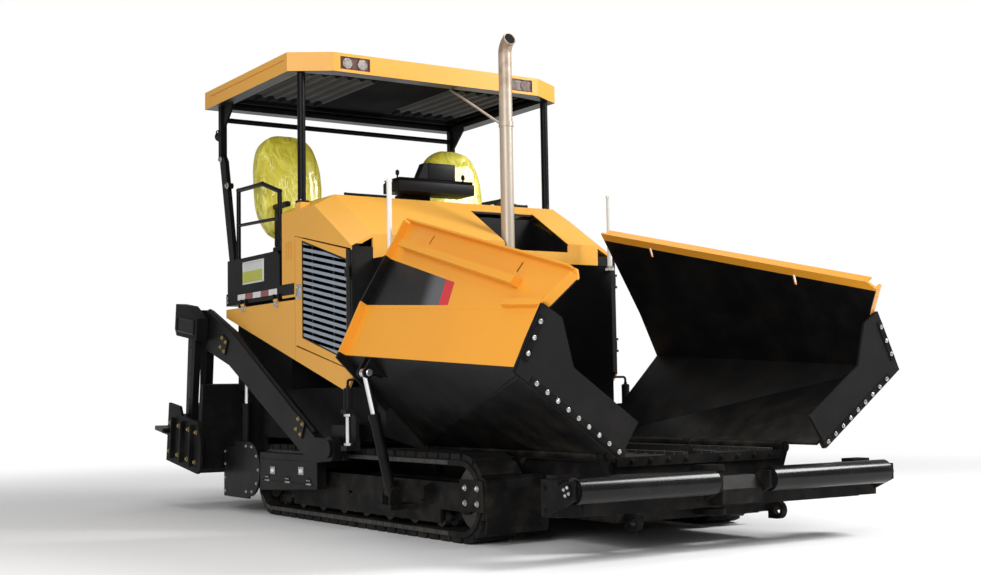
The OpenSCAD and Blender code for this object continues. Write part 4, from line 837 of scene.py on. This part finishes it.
def makeSeat(side, sign):
    f = seatForm
    half, x = f.wide / 2, sign * (f.out - f.wide / 2)
    cushion = softBag((f.wide - 0.01, f.rear - f.front - 0.01, f.cushionThick), 0.45)
    back = softBag((f.backWide, f.backThick, f.backTop - f.backLow), 0.42, f.tuck, f.crown)
    atCushion = moveTo((x, (f.front + f.rear) / 2, f.seatHigh - f.cushionDown))
    backZ = (f.backLow + f.backTop) / 2
    atBack = moveTo((sign * f.backAt, f.rear + f.backOff, backZ)) @ turnBy(-f.leanDeg, "X")
    for piece, name, place in ((cushion, "seatCushion_", atCushion), (back, "seatBack_", atBack)):
        blowUp(piece)
        piece.data.transform(place)
        paint(smoothed(piece, 60), seatFilm)
        gather(name + side, [piece], "chassis")
    shell = block((-0.16, 0.085, -0.40), (0.16, 0.11, 0.10), 0.010)
    shell.data.transform(atBack)
    parts = [shell]
    for at, reach, front, rear, low, high, bevel, segments in (
        (x, f.baseHalf, f.front + 0.1, f.rear - 0.1, machine.platformZ, f.seatLow, 0.01, 2),
        (x, half - 0.01, f.front + 0.01, f.rear + 0.02, f.seatLow - 0.005, f.seatLow + 0.07, 0.015, 2),
        (x - half - f.armOut, 0.025, f.front + 0.12, f.rear - 0.05, *f.armZ, 0.018, 3),
        (x + half + f.armOut, 0.025, f.front + 0.12, f.rear - 0.05, *f.armZ, 0.018, 3),
        (x - half - f.armOut, 0.012, f.rear - 0.16, f.rear - 0.10, *f.stayZ, 0.006, 2),
        (x + half + f.armOut, 0.012, f.rear - 0.16, f.rear - 0.10, *f.stayZ, 0.006, 2),
    ):
        parts.append(block((at - reach, front, low), (at + reach, rear, high), bevel, segments))
    return gather("seatFrame_" + side, [paint(part, blackPaint) for part in parts], "chassis")


seatFrames = [makeSeat(side, sign) for side, sign in sides]
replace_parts(seatFrames[0], "seats")
print("stage: seats done")

# Console: a dished tray on a stem, with a display, levers and switches
f = consoleForm = Form(
    trayLow=(-0.26, 0.58, 2.775), trayHigh=(0.52, 0.88, 2.88), trayFoot=(0.84, 0.66),
    traySunk=(0.022, 0.008, 0.022), stemLow=(-0.10, 0.82, 1.94), stemHigh=(0.20, 0.96, 2.79),
    boxLow=(0.05, 0.60, 2.86), boxHigh=(0.33, 0.72, 3.05), boxSunk=(0.016, 0.004, 0.008), glassIn=0.024,
    cheekX=-0.07, cheekSlope=0.085, leverX=(-0.21, 0.47), leverY=0.70, buttonAt=(-0.16, 0.82),
    buttonStep=0.05, buttonCount=10, button=((0.011, 0), (0.011, 0.009), (0.008, 0.012)),
    lever=((0.022, 0), (0.018, 0.02), (0.007, 0.03), (0.007, 0.075), (0.016, 0.085), (0.018, 0.11),
           (0.008, 0.125)),
)
low, high, inner = Vector(f.boxLow), Vector(f.boxHigh), f.trayHigh[2] - f.traySunk[2]
tray = tapered(block(f.trayLow, f.trayHigh, 0.014, 3), (0, 0, -1), f.trayFoot)
sunk(tray, (0, 0, 1), *f.traySunk)
stem = block(f.stemLow, f.stemHigh, 0.016, 3)
display = sunk(block(low, high, 0.010, 3), (0, 1, 0), *f.boxSunk)
cheek = block((f.cheekX, low.y + 0.008, low.z), (low.x + 0.01, high.y - 0.02, high.z - 0.004))
editOn(cheek, "EDGE")
mesh = bmesh.from_edit_mesh(cheek.data)
for edge in mesh.edges:
    middle = (edge.verts[0].co + edge.verts[1].co) / 2
    edge.select_set(middle.x < f.cheekX + 0.01 and middle.z > high.z - 0.02)
bmesh.update_edit_mesh(cheek.data)
bpy.ops.transform.translate(value=(f.cheekSlope, 0, 0))
editOff()
parts = [paint(smoothed(part), blackPaint) for part in (tray, stem, display, cheek)]
glass = block((low.x + f.glassIn, high.y - 0.012, low.z + f.glassIn),
              (high.x - f.glassIn, high.y - 0.006, high.z - f.glassIn), 0.0015)
parts.append(paint(glass, screenGlass))
x, y = f.buttonAt
places = [moveTo((x + i * f.buttonStep, y, inner - 0.001)) for i in range(f.buttonCount)]
for i, material in enumerate((boltSteel, zincBolt, blackTough)):
    parts += lathe(f.button, 16, places[i::3], material)
parts += lathe(f.lever, 20, [moveTo((x, f.leverY, inner - 0.002)) for x in f.leverX], blackPaint)
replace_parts(gather("consoleDesk", parts, "chassis"), "console")

# Tow arm bolts: four on each pad
armForm = Form(pads=((0.25, 0.70), (1.90, 1.20)), tiltDeg=20, reach=0.045, proud=0.012)
f, ends = armForm, (-armForm.reach, armForm.reach)
parts = []
for side, sign in sides:
    for pad in f.pads:
        place = moveTo((sign * (machine.armOut + f.proud), *pad)) @ turnBy(f.tiltDeg, "X")
        spots = [place @ Vector((0, y, z)) for y in ends for z in ends]
        parts += boltsOn(yellowBolt, spots, (sign, 0, 0), first=15, step=0, lift=liftTurn)
gather("armBolts", parts, "screed")

# Cylinder pipes: a steel pipe with its fittings along each wing and lift barrel (foot, eye, length)
pipeForm = Form(
    r=0.009, off=0.056, near=0.03, start=0.10, end=0.02, nut=((0.016, 0), (0.016, 0.014), (0.012, 0.017)),
    wing=((1.325, -1.14, 0.31), (1.528, -1.14, 1.166), 0.58),
    lift=((1.23, 1.66, 0.45), (1.23, 1.64, 1.33), 0.48),
)


def makeBarrelPipe(what, side, sign):
    f = pipeForm
    low, high, length = f[what]
    foot, eye = Vector((sign * low[0], *low[1:])), Vector((sign * high[0], *high[1:]))
    way = (eye - foot).normalized()
    out = (Vector((0, 1, 0)) - way * way.y).normalized()
    start, end = foot + way * f.start, foot + way * (length - f.end)
    path = [start + out * f.near, start + out * f.off, end + out * f.off, end + out * f.near]
    parts = [paint(tube(roundPath(path, f.near), f.r), blackPaint)]
    places = [facing(spot + out * 0.004, out) for spot in (path[0], path[-1])]
    parts += lathe(f.nut, 6, places, boltSteel, degrees=20)
    gather(what + "Pipe_" + side, parts, what + "_barrel_" + side)


for side, sign in sides:
    makeBarrelPipe("wing", side, sign)
    makeBarrelPipe("lift", side, sign)
print("stage: arms and cylinders done")

# Track chain: link plates with their pin ends along both edges of the band, outside clear of the front guard
chainForm = Form(runs=20, ends=6, proud=0.004, linkHigh=0.030, linkShare=0.47, pinShare=0.27, pinR=0.011,
                 pin=((1, 0), (1, 0.007), (0.75, 0.009)), guardPast=0.16)
f, m = chainForm, machine
pitch = (m.sprocketY - m.idlerY) / f.runs
long = pitch * f.linkShare
link = paint(block((-long, -f.linkHigh / 2, 0), (long, f.linkHigh / 2, f.proud), 0.0015), castSteel)
places = [moveTo((way * pitch * f.pinShare, 0, 0)) for way in (-1, 1)]
link = joined([link] + lathe(f.pin, 12, places, castSteel, f.pinR))
radius = (m.bandR + m.boreR) / 2
spots = []
for i in range(f.runs):
    y = m.idlerY + (i + 0.5) * pitch
    spots += [(y, m.trackR - radius, 0), (y, m.trackR + radius, 180)]
for i in range(f.ends):
    for centre, start in ((m.idlerY, 90), (m.sprocketY, -90)):
        turn = start + (i + 0.5) * 180 / f.ends
        t = math.radians(turn)
        spots.append((centre + radius * math.cos(t), m.trackR + radius * math.sin(t), turn + 90))
for side, sign in sides:
    parts = []
    for x, out in ((m.trackOut, 1), (m.trackIn, -1)):
        swing = Matrix(((0, 0, sign * out, 0), (1, 0, 0, 0), (0, 1, 0, 0), (0, 0, 0, 1)))
        for y, z, turn in spots:
            if out < 0 or y >= m.idlerY + f.guardPast:
                parts.append(copyAt(link, moveTo((sign * x, y, z)) @ turnBy(turn, "X") @ swing))
    facesOut(gather("trackLinks_" + side, parts, "chassis"))
bpy.data.objects.remove(link)
print("stage: chains done")

# Bolts of the track guards, the hopper's lip, the roof posts and the platform's edge, and the rails' flanges
fixForm = Form(
    guardX=1.229, guardY=(-2.13, -1.98), guardZ=(0.28, 0.38), lipY=-2.98, lipZ=0.562, lipStep=0.15,
    lipCount=4, footX=1.235, footY=0.49, footZ=2.616, footReach=(0.028, 0.039), pinX=1.271,
    pins=((2.15, 3.206), (1.99, 2.94)), edgeY=1.985, edgeZ=(1.865, 1.905), railX=1.245, railY=(0.89, 1.79),
    flange=((0.029, 0), (0.029, 0.006), (0.02465, 0.009), (0.021, 0.016)),
)
f, m = fixForm, machine
parts = []
for side, sign in sides:
    out = (sign, 0, 0)
    guard = [(sign * f.guardX, y, z) for y in f.guardY for z in f.guardZ]
    pins = [(sign * f.pinX, y, z) for y, z in f.pins]
    edge = [(sign * m.bodyX, f.edgeY, z) for z in f.edgeZ]
    feet = [(sign * f.footX + dx * f.footReach[0], f.footY + dy * f.footReach[1], f.footZ)
            for dx in (-1, 1) for dy in (-1, 1)]
    lip = [(sign * (i + 1) * f.lipStep, f.lipY, f.lipZ) for i in range(f.lipCount)]
    for spots, size in ((guard, 1.1), (pins, 1.5), (edge, 0.8)):
        parts += boltsOn(brightBolt, spots, out, size)
    parts += boltsOn(yellowBolt, feet, (0, 0, 1), 0.55) + boltsOn(darkBolt, lip, (0, -1, 0))
    parts += lathe(f.flange, 24, [moveTo((sign * f.railX, y, m.lockerZ)) for y in f.railY], blackPaint)
gather("chassisBolts", parts, "chassis")

# Tool boxes and auger shields: latches, hinges and a ring of bolts
boxForm = Form(
    x=1.300, latches=((0.40, 0.405), (0.95, 0.390)), hingeY=(0.26, 0.66, 1.06), hingeZ=0.304, hingeR=0.009,
    barrel=((0.8, -0.045), (1, -0.042), (1, 0.042), (0.8, 0.045)), leaf=(0.004, 0.035, 0.045),
    screw=(0.02, 0.028), shieldAt=(1.46, 0.38), shieldR=0.205, shieldBolts=7, shieldDeg=(75, 210),
    edgeY=1.98, edgeZ=(0.17, 0.29, 0.41, 0.52),
)


def makeBoxFittings(side, sign):
    f, out = boxForm, (sign, 0, 0)
    x, z = sign * f.x, f.hingeZ
    thick, half, high = f.leaf
    face = x + sign * thick
    parts = []
    for spot in f.latches:
        parts += makeLatch(sign, moveTo((x, *spot)))
    places = [facing((x, y, z), (0, 1, 0)) for y in f.hingeY]
    parts += lathe(f.barrel, 14, places, boltSteel, f.hingeR)
    for y in f.hingeY:
        leaf = block((x - sign * 0.001, y - half, z), (face, y + half, z + high), 0.0012)
        parts.append(paint(leaf, blackTough))
        screws = [(face, y + way * f.screw[0], z + f.screw[1]) for way in (-1, 1)]
        parts += boltsOn(brightBolt, screws, out, 0.45)
    spots = []
    for i in range(f.shieldBolts):
        a = math.radians(f.shieldDeg[0] + i * f.shieldDeg[1] / (f.shieldBolts - 1))
        spots.append((x, f.shieldAt[0] + f.shieldR * math.cos(a), f.shieldAt[1] + f.shieldR * math.sin(a)))
    parts += boltsOn(brightBolt, spots + [(x, f.edgeY, z) for z in f.edgeZ], out, 0.75)
    gather("boxFittings_" + side, parts, "chassis")


for side, sign in sides:
    makeBoxFittings(side, sign)
print("stage: boxes and bolts done")

# Work lamps at the roof's rear corners: a cup with a rim and a yoke round the lamp's glass
f = workLampForm = Form(
    x=1.245, z=3.435, front=2.182, r=0.041, yokeY=2.20, yokeR=0.006, yokeBend=0.02,
    cup=((0.45, 0), (0.8, 0.006), (1, 0.022), (1, 0.054), (1.08, 0.057), (1.08, 0.066), (0.92, 0.066),
         (0.88, 0.060)),
    yoke=((-0.046, 0), (-0.046, 0.05), (0.028, 0.05), (0.028, 0.03)),
)
parts = []
for side, sign in sides:
    x = sign * f.x
    parts += lathe(f.cup, 28, [facing((x, f.front, f.z), (0, 1, 0))], blackPaint, f.r)
    path = roundPath([(x + dx, f.yokeY, f.z + dz) for dx, dz in f.yoke], f.yokeBend)
    parts.append(paint(tube(path, f.yokeR), blackPaint))
gather("workLamps", parts, "chassis")

# Roof: a raised panel, four lifting eyes and the tube between the rear posts
roofTopForm = Form(
    x=1.14, front=0.62, rear=2.16, high=0.012, sunk=(0.09, 0.012, 0.007), eyeX=0.95, eyeY=(0.75, 2.0),
    eyeR=0.030, eyeUp=0.034, wire=0.008, tubeY=2.16, tubeZ=3.58, tubeX=1.222, tubeR=0.024,
    collar=((0.026, -0.008), (0.026, 0), (0.018, 0.006), (0.012, 0.012)),
)
f, top = roofTopForm, machine.roofZ + roofTopForm.high
panel = block((-f.x, f.front, machine.roofZ - 0.002), (f.x, f.rear, top), 0.006, 3)
parts = [paint(sunk(panel, (0, 0, 1), *f.sunk), amberPaint)]
circle = [(f.eyeR * math.cos(i * math.pi / 12), f.eyeR * math.sin(i * math.pi / 12)) for i in range(24)]
places = [moveTo((x, y, top)) for x in (-f.eyeX, f.eyeX) for y in f.eyeY]
ring = paint(tube([(x, 0, f.eyeUp + z) for x, z in circle], f.wire, True), boltSteel)
parts += lathe(f.collar, 20, places, boltSteel) + [copyAt(ring, place) for place in places]
bpy.data.objects.remove(ring)
brace = tube([(-f.tubeX, f.tubeY, f.tubeZ), (f.tubeX, f.tubeY, f.tubeZ)], f.tubeR)
gather("roofFittings", parts + [paint(brace, blackPaint)], "chassis")

# Screed: yellow bolts on the end gates, the side console's lid and switches, and pipes down its post
f = gateForm = Form(
    x=1.522, ys=(2.12, 2.31, 2.55, 2.77), zs=(0.11, 0.38), lidX=1.494, lidThick=0.006, lidY=(2.35, 2.79),
    lidZ=(1.24, 1.385), lidSunk=(0.014, 0.004, 0.003), rearY=2.85, knobX=(1.415, 1.441, 1.467),
    knobZ=(1.31, 1.37, 1.43),
    knob=((0.010, 0), (0.010, 0.005), (0.006, 0.007), (0.007, 0.018), (0.004, 0.021)),
    pipeX=(1.404, 1.422, 1.440), pipeY=2.512, pipeZ=(0.47, 1.21), pipeR=0.0085, pipeBend=0.03, pipeOut=0.05,
    clampZ=(0.62, 0.86, 1.10), clampPast=0.014,
)
parts = []
for side, sign in sides:
    out, low, high = (sign, 0, 0), f.pipeZ[0], f.pipeZ[1]
    gate = [(sign * f.x, y, z) for y in f.ys for z in f.zs]
    lid = block((sign * f.lidX, f.lidY[0], f.lidZ[0]),
                (sign * (f.lidX + f.lidThick), f.lidY[1], f.lidZ[1]), 0.002)
    added = [paint(sunk(lid, out, *f.lidSunk), blackPaint)]
    places = [facing((sign * x, f.rearY, z), (0, 1, 0)) for x in f.knobX for z in f.knobZ]
    added += lathe(f.knob, 14, places, boltSteel)
    for x in f.pipeX:
        path = [(sign * x, f.pipeY + f.pipeOut, low), (sign * x, f.pipeY, low + f.pipeBend),
                (sign * x, f.pipeY, high)]
        added.append(paint(tube(roundPath(path, f.pipeBend), f.pipeR), hoseSkin))
    near, far = sign * (f.pipeX[0] - f.clampPast), sign * (f.pipeX[2] + f.clampPast)
    for z in f.clampZ:
        clamp = block((near, f.pipeY - f.clampPast, z), (far, f.pipeY + 0.012, z + 0.022), 0.003)
        added.append(paint(clamp, blackTough))
    for part in added:
        part.data.transform(liftTurn)
    parts += boltsOn(yellowBolt, gate, out, 1.2, lift=liftTurn) + added
gather("screedFittings", parts, "screed")
print("stage: roof and screed done")

# Push beam: bolts on the roller shafts' end discs and on the end boxes
f = pushForm = Form(
    discX=1.376, y=-3.32837, z=0.43, ringR=0.026, ringTurn=0.4, boxX=1.358, boxY=-3.09, boxZ=(0.31, 0.44),
)
angles = [f.ringTurn + i * math.pi / 2 for i in range(4)]
parts = []
for side, sign in sides:
    ring = [(sign * f.discX, f.y + f.ringR * math.cos(a), f.z + f.ringR * math.sin(a)) for a in angles]
    parts += boltsOn(brightBolt, ring, (sign, 0, 0), 0.6)
    parts += boltsOn(darkBolt, [(sign * f.boxX, f.boxY, z) for z in f.boxZ], (sign, 0, 0))
gather("pushBolts", parts, "push_beam")

# Pin heads at the wing cylinders' eyes
eyeForm = Form(x=1.528, y=-1.14, z=1.166, reach=0.066, r=0.026, head=((1, 0), (1, 0.007), (0.8, 0.011)))
# Levelling cylinders: nuts at the rod's ends and a bent pipe from the barrel to the deck
levelForm = Form(
    x=1.335, y=-0.50, nutZ=(0.628, 0.848), barrelTop=1.05, pipeTop=1.125, deckX=1.09, deckZ=1.07,
    pipeR=0.010, nut=((0.030, 0), (0.032, 0.003), (0.032, 0.019), (0.030, 0.022)), pipeBend=0.04,
    cap=((0.034, -0.001), (0.034, 0.007), (0.026, 0.013), (0.014, 0.015), (0.014, 0.029)),
)


def makeCylinderEnds(side, sign):
    e, f = eyeForm, levelForm
    places = [facing((sign * e.x, e.y + way * e.reach, e.z), (0, way, 0)) for way in (-1, 1)]
    gather("eyePins_" + side, lathe(e.head, 22, places, boltSteel, e.r), "wing_" + side)
    x, deck = sign * f.x, sign * f.deckX
    parts = lathe(f.nut, 6, [moveTo((x, f.y, z)) for z in f.nutZ], boltSteel, degrees=20)
    parts += lathe(f.cap, 24, [moveTo((x, f.y, f.barrelTop))], blackPaint)
    path = [(x, f.y, f.barrelTop + 0.02), (x, f.y, f.pipeTop), (deck, f.y + 0.02, f.pipeTop),
            (deck, f.y + 0.06, f.deckZ)]
    parts.append(paint(tube(roundPath(path, f.pipeBend), f.pipeR), blackPaint))
    gather("levelFittings_" + side, parts, "chassis")


for side, sign in sides:
    makeCylinderEnds(side, sign)

# Marker rods: a rounded cap and a lock nut
f = markerForm = Form(x=1.058, y=-0.677, top=2.65, low=2.04, nut=((0.030, 0), (0.030, 0.016), (0.026, 0.019)),
                      cap=((0.023, -0.025), (0.023, 0), (0.017, 0.008), (0.008, 0.012)))
tops, lows = ([moveTo((sign * f.x, f.y, z)) for side, sign in sides] for z in (f.top, f.low))
parts = lathe(f.cap, 20, tops, whitePaint) + lathe(f.nut, 6, lows, boltSteel, degrees=20)
gather("markerCaps", parts, "chassis")

# Platform floor: a sheet with rows of raised lozenges
treadForm = Form(
    x=1.03, front=0.98, rear=1.99, sheet=0.004, pitch=(0.075, 0.06), bar=(0.015, 0.004, 0.003),
    top=(0.8, 0.45),
)
f, z = treadForm, machine.platformZ
sheet = block((-f.x, f.front, z), (f.x, f.rear, z + f.sheet), 0.001)
wide, deep = f.pitch
bar = tapered(block((-f.bar[0], -f.bar[1], 0), f.bar), (0, 0, 1), f.top)
bars = [bar, copyAt(bar, moveTo((wide / 2, deep / 2, 0)) @ turnBy(90, "Z"))]
for piece in bars:
    piece.data.transform(moveTo((wide / 2 - f.x, f.front + deep / 2, z + f.sheet - 0.0005)))
    rows(piece, int(2 * f.x / wide) - 1, (wide, 0, 0))
    rows(piece, int((f.rear - f.front) / deep) - 1, (0, deep, 0))
gather("platformTread", [paint(part, blackTough) for part in [sheet] + bars], "chassis")

# Conveyor chains: link plates and rollers on the rails, both conveyors
f = conveyorForm = Form(
    rails=(0.12, 0.64), front=-2.90, rear=1.44, pitch=0.10, top=0.583, plateX=(-0.013, 0.013),
    plate=(0.003, 0.0425, 0.022), rollerR=0.009, roller=((1, 0), (1, 0.034)),
    rollerAt=(-0.017, 0.03, 0.011),
)
thick, half, high = f.plate
link = [block((x - thick, -half, 0), (x + thick, half, high), 0.002, 1) for x in f.plateX]
roller = turned(f.roller, 8, f.rollerR)
roller.data.transform(facing(f.rollerAt, (1, 0, 0)))
master = paint(joined(link + [roller]), castSteel)
rows(master, int((f.rear - f.front) / f.pitch), (0, f.pitch, 0))
parts = [copyAt(master, moveTo((sign * x, f.front, f.top))) for side, sign in sides for x in f.rails]
bpy.data.objects.remove(master)
gather("conveyorChains", parts, "chassis")
for master in (brightBolt, darkBolt, yellowBolt):
    bpy.data.objects.remove(master)
print("stage: chassis fittings done")

# Camera as the photo was taken
f = cameraForm = Form(
    at=(-6.2019, -9.96, 1.02), yawDeg=33.11, pitchDeg=4.25, rollDeg=-0.95, focalPx=1397.0, widePx=981.0,
    sensor=36.0, farEnd=200.0,
)
yaw, pitch, roll = (math.radians(angle) for angle in (f.yawDeg, f.pitchDeg, f.rollDeg))
ahead = Vector((math.sin(yaw) * math.cos(pitch), math.cos(yaw) * math.cos(pitch), math.sin(pitch)))
across = Vector((math.cos(yaw), -math.sin(yaw), 0))
upright = across.cross(ahead)
right = across * math.cos(roll) + upright * math.sin(roll)
up = upright * math.cos(roll) - across * math.sin(roll)
clearSelection()
bpy.ops.object.camera_add()
camera = bpy.context.object
camera.matrix_world = moveTo(f.at) @ Matrix((right, up, -ahead)).transposed().to_4x4()
camera.data.sensor_width = f.sensor
camera.data.lens = f.focalPx / f.widePx * f.sensor
camera.data.clip_end = f.farEnd
bpy.context.scene.camera = camera

# Pale floor that fades to the white of the background away from the machine
f = stageForm = Form(size=120.0, down=0.001, fade=(4.6, 11.5), tone=(0.86, 0.86, 0.86))
white = (1, 1, 1)


# Two shaders mixed into a tree's output
def mixShaders(net, share, first, second, output):
    mixed = net.add("MixShader", {0: share, 1: first, 2: second})
    net.feed(net.tree.nodes[output].inputs["Surface"], mixed[0])


clearSelection()
bpy.ops.mesh.primitive_plane_add(size=f.size, location=(0, 0, -f.down))
floor = settle(bpy.context.object)
floor.name = "floor"
net = Finish("floorPaper")
fade = net.ramp(net.vector("LENGTH", net.spot())["Value"], *f.fade)
net.setShader({"Base Color": f.tone, "Roughness": 0.9, "Specular IOR Level": 0.1})
glow = net.add("Emission", {"Color": white, "Strength": 1.0})[0]
rays = net.add("LightPath")
seen = net.most(rays["Is Camera Ray"], rays["Is Glossy Ray"], rays["Is Transmission Ray"])
mixShaders(net, net.times(fade, seen), net.shader.outputs[0], glow, "Material Output")
paint(floor, net.material)
floor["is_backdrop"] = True

lightForm = dict(
    key=Form(at=(7.5, -6.5, 8.0), aim=(0, 0, 1.2), size=4.0, watts=1280),
    fill=Form(at=(-8.5, -7.5, 5.0), aim=(0, 0, 1.4), size=6.0, watts=650),
    top=Form(at=(0.0, 1.0, 10.0), aim=(0, 0, 1.0), size=7.0, watts=300),
)
worldStrength = 0.33
for name, f in lightForm.items():
    clearSelection()
    bpy.ops.object.light_add(type="AREA", location=f.at)
    lamp = bpy.context.object
    lamp.name = name + "Light"
    lamp.data.energy = f.watts
    lamp.data.size = f.size
    lamp.rotation_euler = (Vector(f.aim) - Vector(f.at)).to_track_quat("-Z", "Y").to_euler()
world = bpy.data.worlds.new("studio")
bpy.context.scene.world = world
world.use_nodes = True
net = NodeBench(world.node_tree)
soft = net.tree.nodes["Background"]
net.feed(soft.inputs["Color"], white)
net.feed(soft.inputs["Strength"], worldStrength)
rays = net.add("LightPath")
seen = net.most(rays["Is Camera Ray"], rays["Is Transmission Ray"])
glow = net.add("Background", {"Color": white, "Strength": 1.0})[0]
mixShaders(net, seen, soft.outputs[0], glow, "World Output")
bpy.context.scene.view_settings.view_transform = "Standard"
print("stage: camera, floor and lights done")

low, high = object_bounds()
